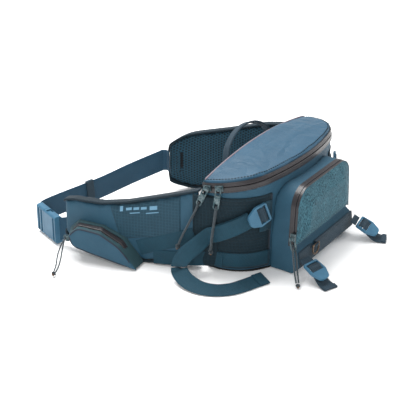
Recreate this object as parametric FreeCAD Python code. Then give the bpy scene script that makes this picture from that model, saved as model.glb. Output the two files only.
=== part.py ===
"""Waist pack with hip wings, zipped lid, zipped front pocket and side-release belt buckle.

Millimetres.  +Z is up, the wearer's back faces +Y, the front pocket faces -Y.
The origin is under the middle of the back panel, on the surface the pack stands on.
"Left" is the -X side.
"""
import FreeCAD, Part
import math
import os
from FreeCAD import Vector, Placement, Rotation

os.makedirs("parts", exist_ok=True)

# ---------------------------------------------------------------- driving dimensions
# main compartment: a D in plan, straight at the back, tapering towards the floor
TOP_HALF_WIDTH = 147.0
BASE_HALF_WIDTH = 133.0
TOP_FRONT_Y = -92.0
BASE_FRONT_Y = -100.0
SIDE_RADIUS = 75.0
SIDE_CENTRE_Y = -8.0
ZIP_HEIGHT = 139.0          # zip line at the back panel
ZIP_TILT = 9.65             # degrees the zip line rises towards the front
FABRIC = 3.0                # padded wall of the compartment
BASE_THICKNESS = 2.0

# lid and its zip
ZIP_TAPE = 8.0              # each tape's height
ZIP_PROUD = 1.0             # how far a tape stands out of the fabric
LID_GAP = 1.0               # between the two tapes
LID_EDGE = 8.0
LID_RISE = 26.0
LID_FABRIC = 2.5
HINGE_CLEARANCE = 0.6

# back panel
BACK_PANEL = 2.5
LUMBAR_PAD = 11.0
PANEL_CORNER_Z = 146.0
PANEL_TOP_Z = 165.0

# webbing
STRAP_WIDTH = 25.0
BELT_WIDTH = 38.0
WEBBING = 1.6
SKIN = 1.2                  # stretch fabric of the side panels

# front pocket
POCKET_HALF_WIDTH = 85.0
POCKET_TOP_HALF_WIDTH = 79.0
POCKET_TOP_Z = 135.0
POCKET_CORNER = 30.0
POCKET_MOUTH_Y = -118.0
POCKET_SILL_Z = 46.0
POCKET_WALL = 2.5
BELLY_Y = -130.0            # the strip under the pocket's mouth bulges out to here
FACE_BULGE = 13.0
FLAP_GAP = 0.5

# hip wings
WING_THICKNESS = 12.0
WING_SKIN = 1.5
WING_MESH = 2.0
BINDING = 2.0

# belt and buckle
FAR_TIP = Vector(52, 208, 0)
LEFT_ROOT = Vector(-147, 3, 0)
RIGHT_ROOT = Vector(147, 3, 0)
BELT_Z = 25.0
BUCKLE_WIDTH = 46.0
BUCKLE_THICKNESS = 13.0
BUCKLE_WALL = 2.0
BUCKLE_CORNER = 4.0
SLOT_ROOM = 0.6             # webbing slots are this much longer at each end
PRONG_LENGTH = 22.0
FEMALE_LENGTH = 36.0
MALE_LENGTH = 24.0
PRONG_CLEARANCE = 1.2
# turning rates while the belt is opened, per unit of the right wing's outward swing
STRAP_RATE = 5.0
LEFT_WING_RATE = 0.3

# zip pulls
HANDLE_BASE = Vector(66, 12.5, 141)
HANDLE_PATCH_Y = 5.0
HANDLE_TOP_Y = 24.0
HANDLE_TOP_Z = 180.0
HANDLE_WIDTH = 12.0
PIN_RADIUS = 0.8
PIN_CLEARANCE = 0.08
TAB_LENGTH = 33.0
POCKET_TAB_LENGTH = 20.0
POUCH_RING = Vector(-224, 201, 31)
CORD_DIAMETER = 2.8
POUCH_CORD_DIAMETER = 2.2

UP = Vector(0, 0, 1)
FAR = 400.0                 # longer than anything that is cut
X_AXIS = Vector(1, 0, 0)


# ---------------------------------------------------------------- helpers
def save(name, *solids):
    shape = solids[0] if len(solids) == 1 else Part.makeCompound(list(solids))
    shape.exportStep("parts/%s.step" % name)
    volume = sum(s.Volume for s in shape.Solids)
    print("%-28s solids %d  volume %9.1f  valid %s" % (name, len(shape.Solids), volume, shape.isValid()))


PIVOTS = {}


def pivot(name, point, axis):
    """Note where a moving piece turns or slides, in the part's own frame."""
    PIVOTS[name] = (point, axis)
    print("pivot %s at (%.1f %.1f %.1f) along (%.4f %.4f %.4f)" % (name, *point, *axis))


def box(low, high):
    size = [high[i] - low[i] for i in range(3)]
    return Part.makeBox(size[0], size[1], size[2], Vector(*low))


def rounded_edges(points, radii, closed):
    """Straight runs joined by tangent arcs; a radius of 0 keeps the corner."""
    count = len(points)
    cuts = []
    for i in range(count):
        here = points[i]
        if radii[i] <= 0 or (not closed and i in (0, count - 1)):
            cuts.append((here, None, here))
            continue
        back = (points[i - 1] - here).normalize()
        ahead = (points[(i + 1) % count] - here).normalize()
        half = math.acos(max(-1.0, min(1.0, back.dot(ahead)))) / 2
        reach = radii[i] / math.tan(half)
        bisector = (back + ahead).normalize()
        middle = here + bisector * (radii[i] / math.sin(half) - radii[i])
        cuts.append((here + back * reach, middle, here + ahead * reach))
    edges = []
    for i in range(count):
        start, middle, end = cuts[i]
        if middle is not None:
            edges.append(Part.Arc(start, middle, end).toShape())
        if i == count - 1 and not closed:
            break
        following = cuts[(i + 1) % count][0]
        if end.distanceToPoint(following) > 1e-6:
            edges.append(Part.LineSegment(end, following).toShape())
    return edges


def outline(points, radii):
    return Part.Wire(rounded_edges(points, radii, True))


def prism(wire, direction):
    return Part.Face(wire).extrude(direction)


def in_xz(pairs, y):
    return [Vector(x, y, z) for x, z in pairs]


def in_yz(pairs, x):
    return [Vector(x, y, z) for y, z in pairs]


def mirrored(shape):
    return shape.mirror(Vector(0, 0, 0), X_AXIS)


def mirrored_point(point):
    return Vector(-point.x, point.y, point.z)


def frame_at(origin, x_dir, y_dir):
    """Placement whose x and y axes point along the two directions (y is squared up to x)."""
    x = Vector(x_dir).normalize()
    z = x.cross(y_dir).normalize()
    y = z.cross(x)
    return Placement(origin, Rotation(x, y, z, "XYZ"))


def placed(shape, placement):
    moved = shape.copy()
    moved.Placement = placement.multiply(moved.Placement)
    return moved


def ribbon(stations, width, thickness):
    """Flat webbing through (centre, width direction) stations; it is as thick outwards as given."""
    wires = []
    last = len(stations) - 1
    for i in range(last + 1):
        centre, across = stations[i]
        before = stations[max(i - 1, 0)][0]
        after = stations[min(i + 1, last)][0]
        along = (after - before).normalize()
        side = (across - along * across.dot(along)).normalize()
        normal = side.cross(along)
        corners = []
        for s, n in ((-1, -1), (1, -1), (1, 1), (-1, 1)):
            corners.append(centre + side * (s * width / 2) + normal * (n * thickness / 2))
        wires.append(Part.makePolygon(corners + [corners[0]]))
    return Part.makeLoft(wires, True, True)


def cord_tube(name, points, diameter):
    """Round cord along straight runs and tangent arcs, each arc as large as its runs allow."""
    radii = [0.0]
    for i in range(1, len(points) - 1):
        back = points[i - 1] - points[i]
        ahead = points[i + 1] - points[i]
        half_turn = (math.pi - back.getAngle(ahead)) / 2
        radii.append(0.45 * min(back.Length, ahead.Length) / math.tan(half_turn))
    radii.append(0.0)
    path = Part.Wire(rounded_edges(points, radii, False))
    start = points[0]
    section = Part.Wire(Part.makeCircle(diameter / 2, start, points[1] - start))
    tube = path.makePipeShell([section], True, False)
    expected = math.pi * diameter ** 2 / 4 * path.Length
    print("cord %s: length %.1f, radii %s, volume / expected %.3f" % (
        name, path.Length, [round(r, 1) for r in radii[1:-1]], tube.Volume / expected))
    return tube


# ---------------------------------------------------------------- the D outline
def front_radius(half_width, front_y):
    """Radius of the front arc that is tangent to both side arcs."""
    centre_x = half_width - SIDE_RADIUS
    reach = front_y - SIDE_CENTRE_Y
    return (centre_x ** 2 + reach ** 2 - SIDE_RADIUS ** 2) / (-2 * (SIDE_RADIUS + reach))


def d_wire(half_width, front_y, grow, back_y):
    """Closed D in the plane z = 0, offset outwards by grow."""
    centre_x = half_width - SIDE_RADIUS
    big = front_radius(half_width, front_y)
    big_centre_y = front_y + big
    to_tangent = Vector(centre_x, SIDE_CENTRE_Y - big_centre_y, 0).normalize()
    small = SIDE_RADIUS + grow
    tangent = Vector(centre_x, SIDE_CENTRE_Y, 0) + to_tangent * small
    half_angle = math.atan2(-to_tangent.y, to_tangent.x) / 2
    middle = Vector(centre_x + small * math.cos(half_angle), SIDE_CENTRE_Y - small * math.sin(half_angle), 0)
    side = Vector(half_width + grow, SIDE_CENTRE_Y, 0)
    corner = Vector(half_width + grow, back_y, 0)
    nose = Vector(0, front_y - grow, 0)
    return Part.Wire([
        Part.LineSegment(mirrored_point(corner), mirrored_point(side)).toShape(),
        Part.Arc(mirrored_point(side), mirrored_point(middle), mirrored_point(tangent)).toShape(),
        Part.Arc(mirrored_point(tangent), nose, tangent).toShape(),
        Part.Arc(tangent, middle, side).toShape(),
        Part.LineSegment(side, corner).toShape(),
        Part.LineSegment(corner, mirrored_point(corner)).toShape(),
    ])


ZIP_PLANE = Placement(Vector(0, 0, ZIP_HEIGHT), Rotation(X_AXIS, -ZIP_TILT))


def zip_level_wire(grow, back_y, level):
    wire = d_wire(TOP_HALF_WIDTH, TOP_FRONT_Y, grow, back_y)
    wire.translate(Vector(0, 0, level))
    return placed(wire, ZIP_PLANE)


def body_loft(grow, back_y, bottom_z):
    base = d_wire(BASE_HALF_WIDTH, BASE_FRONT_Y, grow, back_y)
    base.translate(Vector(0, 0, bottom_z))
    top = zip_level_wire(grow, back_y, -ZIP_TAPE)
    return Part.makeLoft([base, top], True, True)


def side_point(angle, z, out):
    """Point on the left side, angle degrees round from the side towards the front."""
    share = z / ZIP_HEIGHT
    half_width = BASE_HALF_WIDTH + (TOP_HALF_WIDTH - BASE_HALF_WIDTH) * share
    reach = SIDE_RADIUS + out
    turn = math.radians(angle)
    x = half_width - SIDE_RADIUS + reach * math.cos(turn)
    return Vector(-x, SIDE_CENTRE_Y - reach * math.sin(turn), z)


def zip_ring(grow_out, grow_in, low, high):
    """Band round the sides and front at the zip line, open at the back."""
    outer = prism(d_wire(TOP_HALF_WIDTH, TOP_FRONT_Y, grow_out, 0), Vector(0, 0, high - low))
    inner = prism(d_wire(TOP_HALF_WIDTH, TOP_FRONT_Y, grow_in, FABRIC), Vector(0, 0, high - low))
    ring = outer.cut(inner)
    ring = ring.cut(box((-FAR, -FABRIC, -1), (FAR, FAR, high - low + 1)))
    ring.translate(Vector(0, 0, low))
    return placed(ring, ZIP_PLANE)


# ---------------------------------------------------------------- main compartment
BODY_SOLID = body_loft(0, 0, BASE_THICKNESS)


def base_prism():
    return prism(d_wire(BASE_HALF_WIDTH, BASE_FRONT_Y, 0, 0), Vector(0, 0, BASE_THICKNESS))


def make_compartment():
    cavity = body_loft(-FABRIC, -FABRIC, BASE_THICKNESS + FABRIC)
    save("compartment_shell", BODY_SOLID.cut(cavity))
    save("base_panel", base_prism())
    save("zip_tape_lower", zip_ring(ZIP_PROUD, -FABRIC, -ZIP_TAPE, 0))


def make_back():
    profile = Part.Wire([
        Part.LineSegment(Vector(-BASE_HALF_WIDTH, 0, 0), Vector(BASE_HALF_WIDTH, 0, 0)).toShape(),
        Part.LineSegment(Vector(BASE_HALF_WIDTH, 0, 0), Vector(TOP_HALF_WIDTH, 0, PANEL_CORNER_Z)).toShape(),
        Part.Arc(Vector(TOP_HALF_WIDTH, 0, PANEL_CORNER_Z), Vector(0, 0, PANEL_TOP_Z),
                 Vector(-TOP_HALF_WIDTH, 0, PANEL_CORNER_Z)).toShape(),
        Part.LineSegment(Vector(-TOP_HALF_WIDTH, 0, PANEL_CORNER_Z),
                         Vector(-BASE_HALF_WIDTH, 0, 0)).toShape(),
    ])
    patches = []
    for side in (-1, 1):
        x = side * HANDLE_BASE.x
        patches.append(box((x - 7, 0, HANDLE_BASE.z - 14), (x + 7, HANDLE_PATCH_Y, HANDLE_BASE.z + 2)))
    save("back_panel", prism(profile, Vector(0, BACK_PANEL, 0)).fuse(patches).removeSplitter())
    margin = 30.0
    sheet_thickness = 1.5
    half = BASE_HALF_WIDTH - margin
    sheet_top = ZIP_HEIGHT - margin / 1.5
    low = BASE_THICKNESS + FABRIC
    back = -FABRIC - ZIP_TAPE * math.sin(math.radians(ZIP_TILT))
    sheet = box((-half, back - sheet_thickness, low), (half, back, sheet_top))
    save("frame_sheet", sheet)
    gap_half = 14.0
    pad_round = 5.0
    pads = []
    for side in (-1, 1):
        inner = side * gap_half
        outer = side * (BASE_HALF_WIDTH - gap_half)
        pad = box((min(inner, outer), BACK_PANEL, 2 * gap_half),
                  (max(inner, outer), BACK_PANEL + LUMBAR_PAD, ZIP_HEIGHT - 2 * gap_half))
        rear = [e for e in pad.Edges if all(v.Y > BACK_PANEL + 1 for v in e.Vertexes)]
        pads.append(pad.makeFillet(pad_round, rear))
    save("lumbar_pads", *pads)


def side_skin(grow_out, grow_in, low_z, high_z, x_from, x_to):
    """Piece of fabric on both sides between two heights and two distances from the middle."""
    outer = body_loft(grow_out, 0, BASE_THICKNESS)
    inner = BODY_SOLID if grow_in == 0 else body_loft(grow_in, 0, BASE_THICKNESS)
    skin = outer.cut(inner)
    slab = box((-x_to, -FAR, low_z), (-x_from, 0, high_z))
    left = skin.common(slab)
    return left, mirrored(left)


SEAM_X = 88.0
LOWER_STRAP_Z = 21.0
UPPER_PATCH_Z = 92.0
UPPER_PATCH_HEIGHT = 50.0


def make_side_fabric():
    save("side_panels", *side_skin(SKIN, 0, 6, 128, SEAM_X, FAR))
    half = STRAP_WIDTH / 2
    low, high = LOWER_STRAP_Z - half, LOWER_STRAP_Z + half
    save("side_straps_lower", *side_skin(SKIN + WEBBING, SKIN, low, high, SEAM_X, FAR))
    half = UPPER_PATCH_HEIGHT / 2
    reach = 24.0
    low, high = UPPER_PATCH_Z - half, UPPER_PATCH_Z + half
    save("side_patches_upper", *side_skin(SKIN + WEBBING, SKIN, low, high, SEAM_X, SEAM_X + reach))


# ---------------------------------------------------------------- lid
def crown(drop, back_y):
    """Solid under the lid's crowned surface, in the zip plane's own frame."""
    half = TOP_HALF_WIDTH + 20
    stations = ((back_y, LID_RISE), (-30, LID_RISE - 1.5), (-62, LID_RISE - 8),
                (TOP_FRONT_Y - 8, LID_EDGE + 1))
    wires = []
    for y, rise in stations:
        edge = LID_EDGE - drop - 1.5
        wires.append(Part.Wire([
            Part.LineSegment(Vector(half, y, edge), Vector(half, y, -20)).toShape(),
            Part.LineSegment(Vector(half, y, -20), Vector(-half, y, -20)).toShape(),
            Part.LineSegment(Vector(-half, y, -20), Vector(-half, y, edge)).toShape(),
            Part.Arc(Vector(-half, y, edge), Vector(0, y, rise - drop), Vector(half, y, edge)).toShape(),
        ]))
    return Part.makeLoft(wires, True, False)


def make_lid():
    tall = LID_RISE * 2
    outer = prism(d_wire(TOP_HALF_WIDTH, TOP_FRONT_Y, 0, -HINGE_CLEARANCE), Vector(0, 0, tall))
    outer.translate(Vector(0, 0, LID_GAP))
    inner = prism(d_wire(TOP_HALF_WIDTH, TOP_FRONT_Y, -LID_FABRIC, LID_RISE), Vector(0, 0, tall * 2))
    inner.translate(Vector(0, 0, -tall))
    lid = outer.common(crown(0, 3)).cut(inner.common(crown(LID_FABRIC, LID_RISE + 2)))
    lid = placed(lid, ZIP_PLANE).cut(box((-FAR, -HINGE_CLEARANCE, 0), (FAR, FAR, FAR)))
    save("lid_panel", lid)
    hinge_z = ZIP_HEIGHT + LID_RISE * math.cos(math.radians(ZIP_TILT))
    pivot("lid", Vector(0, -HINGE_CLEARANCE, hinge_z), X_AXIS * -1)
    save("zip_tape_upper", zip_ring(ZIP_PROUD, 0, LID_GAP, LID_GAP + ZIP_TAPE - 2))


# ---------------------------------------------------------------- front pocket
def pocket_outline(grow, low_z):
    half = POCKET_HALF_WIDTH + grow
    top_half = POCKET_TOP_HALF_WIDTH + grow
    top = POCKET_TOP_Z + grow
    radius = POCKET_CORNER + grow
    above = ((top_half, top), (-top_half, top))
    if low_z >= POCKET_SILL_Z:
        half -= (half - top_half) * (low_z - POCKET_SILL_Z) / (top - POCKET_SILL_Z)
        return ((-half, low_z), (half, low_z)) + above, (0, 0, radius, radius)
    below = ((-half, POCKET_SILL_Z), (-half, low_z), (half, low_z), (half, POCKET_SILL_Z))
    return below + above, (0, 0, 0, 0, radius, radius)


def pocket_prism(grow, low_z, y_from, y_to):
    pairs, radii = pocket_outline(grow, low_z)
    return prism(outline(in_xz(pairs, y_from), radii), Vector(0, y_to - y_from, 0))


def belly_profile(grow):
    """Side view of the pocket: undercut strip at the bottom, upright mouth above it."""
    mouth = POCKET_MOUTH_Y - grow
    return ((-60, -grow + 0.5), (BELLY_Y + 12 - grow, -grow + 0.5), (BELLY_Y - grow, 13),
            (BELLY_Y + 3 - grow, POCKET_SILL_Z - 8 + grow), (mouth, POCKET_SILL_Z - 2 + grow),
            (mouth, POCKET_TOP_Z + 20), (-60, POCKET_TOP_Z + 20))


def belly_prism(grow):
    points = in_yz(belly_profile(grow), -FAR)
    return prism(outline(points, (0, 6, 6, 4, 0, 0, 0)), Vector(2 * FAR, 0, 0))


def make_front_pocket():
    outer = pocket_prism(0, 0, -FAR, -60).common(belly_prism(0))
    inner = pocket_prism(-POCKET_WALL, POCKET_WALL, -FAR, -60).common(belly_prism(-POCKET_WALL))
    lip = 4.0
    mouth = pocket_prism(-lip, POCKET_SILL_Z + lip, -FAR, POCKET_MOUTH_Y + 10)
    shell = outer.cut(inner).cut(mouth).cut(BODY_SOLID).cut(base_prism())
    save("pocket_shell", shell)
    band = pocket_prism(ZIP_PROUD, POCKET_SILL_Z, POCKET_MOUTH_Y, POCKET_MOUTH_Y + ZIP_TAPE)
    band = band.cut(pocket_prism(0, 0, -FAR, 0))
    save("pocket_tape_lower", band)

    edge = 4.0
    flap_low = POCKET_SILL_Z + 2
    back = POCKET_MOUTH_Y - FLAP_GAP
    rim = pocket_prism(0, flap_low, back - edge, back)
    wires = []
    for inset, y in ((1.0, back - edge), (26.0, back - FACE_BULGE)):
        half = POCKET_HALF_WIDTH - inset
        top_half = POCKET_TOP_HALF_WIDTH - inset
        top = POCKET_TOP_Z - inset
        low = flap_low + inset * 0.7
        pairs = ((-half, low), (half, low), (top_half, top), (-top_half, top))
        radius = max(POCKET_CORNER - inset, 8)
        wires.append(outline(in_xz(pairs, y), (6, 6, radius, radius)))
    save("pocket_face", rim.fuse(Part.makeLoft(wires, True, True)).removeSplitter())
    ring = pocket_prism(ZIP_PROUD, flap_low, back - edge, back).cut(pocket_prism(0, 0, -FAR, 0))
    save("pocket_tape_upper", ring)
    pivot("pocket_flap", Vector(0, back - FLAP_GAP, flap_low - 1), X_AXIS)


# ---------------------------------------------------------------- straps on the front
DRING_X = -43.0
DRING_Z = 38.0
DRING_WIRE = 1.3
DRING_RADIUS = 9.0


def belly_band():
    y_out = BELLY_Y - WEBBING
    half = STRAP_WIDTH / 2
    centre_z = 27.0
    strap = belly_prism(WEBBING).cut(belly_prism(0))
    slab = box((-POCKET_HALF_WIDTH, y_out - 5, centre_z - half),
               (POCKET_HALF_WIDTH, BELLY_Y + 12, centre_z + half))
    return strap.common(slab)


def ladder_lock():
    """Ladder-lock for narrow webbing: x runs along the strap from the pivot bar to the thumb plate,
    y outwards, z across the strap."""
    half = STRAP_WIDTH / 2
    frame_half = half + 4.5
    thick = 4.0
    corners = [Vector(-3, 0, -frame_half + 2), Vector(16, 0, -frame_half), Vector(32, 0, -frame_half + 8),
               Vector(32, 0, frame_half - 8), Vector(16, 0, frame_half), Vector(-3, 0, frame_half - 2)]
    plate = prism(outline(corners, (3, 6, 9, 9, 6, 3)), Vector(0, thick, 0))
    slot = half + 1
    for start, end in ((0, 4.5), (7.5, 15)):
        plate = plate.cut(box((start, -1, -slot), (end, thick + 1, slot)))
    return plate


def make_lash():
    """Two short straps under the pocket, each with a ladder-lock and a folded tail on the ground."""
    loops = []
    tails = []
    for side, drop in ((-1, 0), (1, 1)):
        name = "left" if side < 0 else "right"
        head = Vector(side * 78, BELLY_Y - WEBBING - 2.2, 30)
        foot = Vector(side * 80, BELLY_Y - 12, 25)
        loop_end = foot + (head - foot).normalize() * 0.5
        lean = Vector(side * 0.15, -0.86, -0.42).normalize()
        across = Vector(1, side * 0.1, 0)
        loops.append(ribbon([(head, across), (loop_end, across)], STRAP_WIDTH, WEBBING))
        frame = frame_at(foot + lean * 4.4, lean, Vector(0, -0.42, 0.86))
        lock = placed(ladder_lock(), frame)
        save("lash_lock_%s" % name, lock)
        pivot("lash_lock_%s" % name, frame.Base, frame.Rotation.multVec(UP))
        start = frame.multVec(Vector(17, -2.4, 0))
        touch = Vector(side * 86, BELLY_Y - 43, 3.2)
        end = Vector(side * 92, BELLY_Y - 58, 1.4)
        tails.append(ribbon([(start, across), (touch, across), (end, across)], STRAP_WIDTH, 2 * WEBBING - 1))
    save("lash_loops", *loops)
    save("lash_tails", *tails)


def make_dring():
    """Gear ring that hangs in a small webbing loop on the belly strap."""
    half = 6.0
    face = BELLY_Y - WEBBING
    eye = DRING_WIRE + 0.35
    loop = box((DRING_X - half, face - 2 * eye - 2, DRING_Z - eye - 1),
               (DRING_X + half, face, DRING_Z + eye + 1))
    centre = Vector(DRING_X, face - eye - 1, DRING_Z)
    hole = Part.makeCylinder(eye, 4 * half, centre - X_AXIS * (2 * half), X_AXIS)
    save("belly_strap", belly_band().fuse(loop.cut(hole)).removeSplitter())
    pivot("dring", centre, X_AXIS * -1)
    half_bar = DRING_RADIUS
    a = centre + Vector(-half_bar, 0, 0)
    b = centre + Vector(half_bar, 0, 0)
    low = centre + Vector(0, 0, -half_bar - 7)
    corner = Vector(0, 0, -7)
    straight = Part.makeCylinder(DRING_WIRE, 2 * half_bar, a, X_AXIS)
    bow_path = Part.Wire([
        Part.LineSegment(a, a + corner).toShape(),
        Part.Arc(a + corner, low, b + corner).toShape(),
        Part.LineSegment(b + corner, b).toShape(),
    ])
    section = Part.Wire(Part.makeCircle(DRING_WIRE, a, UP))
    bow = bow_path.makePipeShell([section], True, False)
    ends = [Part.makeSphere(DRING_WIRE, p) for p in (a, b)]
    save("dring", straight.fuse([bow] + ends))


# ---------------------------------------------------------------- grab handle


def make_handle():
    base = HANDLE_BASE
    stations = []
    steps = 10
    for i in range(steps + 1):
        t = -1 + 2 * i / steps
        lift = (1 - t * t) ** 0.6
        x = t * base.x
        y = base.y + (HANDLE_TOP_Y - base.y) * lift
        z = base.z + (HANDLE_TOP_Z - base.z) * lift
        stations.append((Vector(x, y, z), Vector(0, 0.8, -0.35)))
    save("grab_handle", ribbon(stations, HANDLE_WIDTH, 2 * WEBBING))
    pivot("handle", Vector(0, base.y, base.z), X_AXIS * -1)


# ---------------------------------------------------------------- hip wings
def wing_band(line, inner, outer):
    """Vertical wall along a plan line, between two offsets on its outer side."""
    near = []
    far = []
    count = len(line)
    for i in range(count):
        before = line[max(i - 1, 0)]
        after = line[min(i + 1, count - 1)]
        along = (after - before).normalize()
        out = Vector(-along.y, along.x, 0)
        near.append(line[i] + out * inner)
        far.append(line[i] + out * outer)
    loop = near + far[::-1]
    wire = Part.makePolygon(loop + [loop[0]])
    return prism(wire, Vector(0, 0, 200))


def wing_profile(pairs, radii, grow):
    wire = outline(in_yz(pairs, -FAR), radii)
    if grow:
        wire = wire.makeOffset2D(grow)
    return prism(wire, Vector(2 * FAR, 0, 0))


LEFT_LINE = [Vector(-148, 6, 0), Vector(-159, 34, 0), Vector(-173, 74, 0), Vector(-188, 116, 0),
             Vector(-199, 150, 0), Vector(-205, 182, 0), Vector(-209, 214, 0)]
LEFT_PROFILE = ((6, 6), (90, 1.2), (150, 6), (205, 14), (220, 40), (217, 86), (196, 91), (150, 93), (112, 100),
                (55, 117), (6, 132))
LEFT_RADII = (2, 40, 40, 14, 10, 10, 20, 60, 60, 60, 2)
RIGHT_LINE = [Vector(148, 6, 0), Vector(148, 32, 0), Vector(140, 62, 0), Vector(127, 94, 0),
              Vector(110, 128, 0), Vector(92, 162, 0), Vector(75, 188, 0), Vector(56, 205, 0)]
RIGHT_PROFILE = ((6, 6), (120, 1.2), (176, 4), (206, 24), (206, 84), (176, 103), (118, 114), (60, 128),
                 (6, 135))
RIGHT_RADII = (2, 40, 50, 40, 40, 60, 60, 60, 2)


def make_wing(name, line, pairs, radii, side):
    """Four layers: inner mesh, foam, outer fabric, and the binding round the edge."""
    core_in = -WING_THICKNESS + WING_MESH
    core_out = -WING_SKIN
    layers = (("wing_%s_mesh" % name, -WING_THICKNESS, core_in),
              ("wing_%s_foam" % name, core_in, core_out),
              ("wing_%s_fabric" % name, core_out, 0))
    body = wing_profile(pairs, radii, -BINDING)
    for node, low, high in layers:
        band = wing_band(line, side * low, side * high)
        save(node, band.common(body))
    rim = wing_profile(pairs, radii, 0).cut(body)
    root = line[0].y + BINDING + 0.01
    rim = rim.cut(box((-FAR, -FAR, -1), (FAR, root, FAR)))
    band = wing_band(line, side * -WING_THICKNESS, 0)
    save("wing_%s_binding" % name, band.common(rim))


# the pouch on the left wing, in a frame along the wing: u along, n outwards, w up
POUCH_ORIGIN = Vector(-177.5, 84, 0)
POUCH_ALONG = Vector(-0.243, 0.97, 0)
POUCH_DEPTH = 30.0
POUCH_WALL = 2.0
POUCH_BACK = 8.0
POUCH_ZIP_FROM = 12.0
POUCH_ZIP_TO = 20.0


def pouch_loft(shrink, n_from, n_to):
    inner = ((2, 3), (116, 15), (124, 42), (108, 60), (66, 60), (30, 44))
    outer = ((4, 1), (108, 25), (114, 42), (98, 56), (62, 52), (32, 34))
    middle_u, middle_w = 74.0, 36.0
    wires = []
    for pairs, n in ((inner, n_from), (outer, n_to)):
        points = []
        for u, w in pairs:
            away = Vector(u - middle_u, 0, w - middle_w)
            pulled = away * (1 - shrink / away.Length)
            points.append(Vector(middle_u + pulled.x, n, middle_w + pulled.z))
        wires.append(Part.makePolygon(points + [points[0]]))
    return Part.makeLoft(wires, True, True)


def make_pouch():
    place = frame_at(POUCH_ORIGIN, POUCH_ALONG, Vector(-0.97, -0.243, 0))
    clear = 0.1
    wing = wing_band(LEFT_LINE, -WING_THICKNESS, clear).translated(Vector(0, 0, -1))
    wing.Placement = place.inverse().multiply(wing.Placement)
    outer = pouch_loft(0, 0, POUCH_DEPTH).cut(wing)
    inner = pouch_loft(3 * POUCH_WALL, POUCH_BACK, POUCH_DEPTH - POUCH_WALL)
    slot = box((14, POUCH_ZIP_FROM, 30), (112, POUCH_ZIP_TO, 90))
    shell = outer.cut(inner).cut(slot)
    save("pouch_shell", placed(shell, place))
    save("pouch_zip", placed(outer.cut(inner).common(slot), place))


# ---------------------------------------------------------------- compression straps
STRAP_TURNS = (47, 38, 29, 20, 11, 2)
LOCK_TURN = 64.0
LOCK_Z = 104.0


def make_compression():
    """Ladder-lock on each side patch, the straps that run back to the wings, and the tails' starts."""
    strap = []
    tail = []
    last = len(STRAP_TURNS) - 1
    for i, turn in enumerate(STRAP_TURNS):
        share = i / last
        z = 94 - 31 * share
        strap.append((side_point(turn, z, SKIN + WEBBING + 1.6 + 1.2 * share), UP))
        tail.append((side_point(turn, z, SKIN + 2 * WEBBING + 3 + 5 * share), UP))
    left = ribbon(strap, STRAP_WIDTH, WEBBING)
    save("compression_straps", left, mirrored(left))

    centre = side_point(LOCK_TURN, LOCK_Z, SKIN + WEBBING + 4)
    ahead = side_point(STRAP_TURNS[0] - 6, LOCK_Z - 12, SKIN + 2 * WEBBING + 11)
    along = ahead - centre
    out = side_point(LOCK_TURN - 12, LOCK_Z, 40) - side_point(LOCK_TURN - 12, LOCK_Z, 0)
    frame = frame_at(centre, along, out)
    lock = placed(ladder_lock(), frame)
    save("side_lock_left", lock)
    save("side_lock_right", mirrored(lock))
    axis = frame.Rotation.multVec(UP)
    pivot("side_lock_left", centre, axis)
    pivot("side_lock_right", mirrored_point(centre), Vector(axis.x, -axis.y, -axis.z))
    return tail


LEFT_TAIL = ((-164, 0, 50), (-173, 9, 40), (-182, 15, 29.5), (-191, 14, 19.5), (-198, 2, 12), (-202, -15, 8),
             (-201, -34, 5.5), (-192, -54, 4.4), (-176, -70, 4.2), (-156, -80, 4.2), (-136, -88, 4.2),
             (-122, -94, 4.2))
LEFT_TAIL_ACROSS = ((0.1, 0.35, 1), (0.2, 0.5, 0.9), (0.3, 0.6, 0.7), (0.6, 0.4, 0.6), (0.85, 0, 0.5),
                    (0.92, -0.1, 0.38), (0.95, 0.1, 0.28), (0.8, 0.6, 0.24), (0.6, 0.8, 0.22), (0.4, 0.9, 0.22),
                    (0.35, 0.9, 0.22), (0.35, 0.9, 0.22))


def make_tails(left_start):
    stations = list(left_start)
    for centre, across in zip(LEFT_TAIL, LEFT_TAIL_ACROSS):
        stations.append((Vector(*centre), Vector(*across)))
    left = ribbon(stations, STRAP_WIDTH, WEBBING)
    hanging = [(mirrored_point(p), w) for p, w in left_start[:4]]
    tip = hanging[-1][0]
    hanging.append((tip + Vector(6, 14, -26), Vector(0.2, 0.6, 0.8)))
    hanging.append((tip + Vector(8, 18, -52), Vector(0.2, 0.9, 0.3)))
    save("compression_tails", left, ribbon(hanging, STRAP_WIDTH, WEBBING))


def make_wing_straps():
    """The stretch of each compression strap that is sewn to its wing."""
    off = WEBBING / 2 + 0.9
    left = []
    for y, x, z in ((12, -150.5, 58), (34, -159.2, 49), (74, -173.2, 34), (94, -180.4, 26)):
        left.append((Vector(x - off, y, z), UP))
    save("wing_left_strap", ribbon(left, STRAP_WIDTH, WEBBING))
    right = []
    for y, x, z in ((20, 148.3, 56), (36, 147, 50), (66, 138.5, 40), (98, 125.5, 26)):
        right.append((Vector(x + off, y, z), UP))
    save("wing_right_strap", ribbon(right, STRAP_WIDTH, WEBBING))


# ---------------------------------------------------------------- belt and buckle
def opening_direction():
    """Direction in which the male half first leaves the female half when the belt is opened."""
    buckle = Vector(-190, 266, 0)
    strap_turn = -(1 + STRAP_RATE)
    male = UP.cross(FAR_TIP - RIGHT_ROOT) * -1 + UP.cross(buckle - FAR_TIP) * strap_turn
    female = UP.cross(buckle - LEFT_ROOT) * LEFT_WING_RATE
    return (male - female).normalize()


pivot("wing_left", LEFT_ROOT, UP)
pivot("wing_right", RIGHT_ROOT, UP * -1)
pivot("belt_strap", FAR_TIP, UP * -1)
BUCKLE_OUT = opening_direction()
BUCKLE_MOUTH = Vector(-190, 266, BELT_Z)


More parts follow.
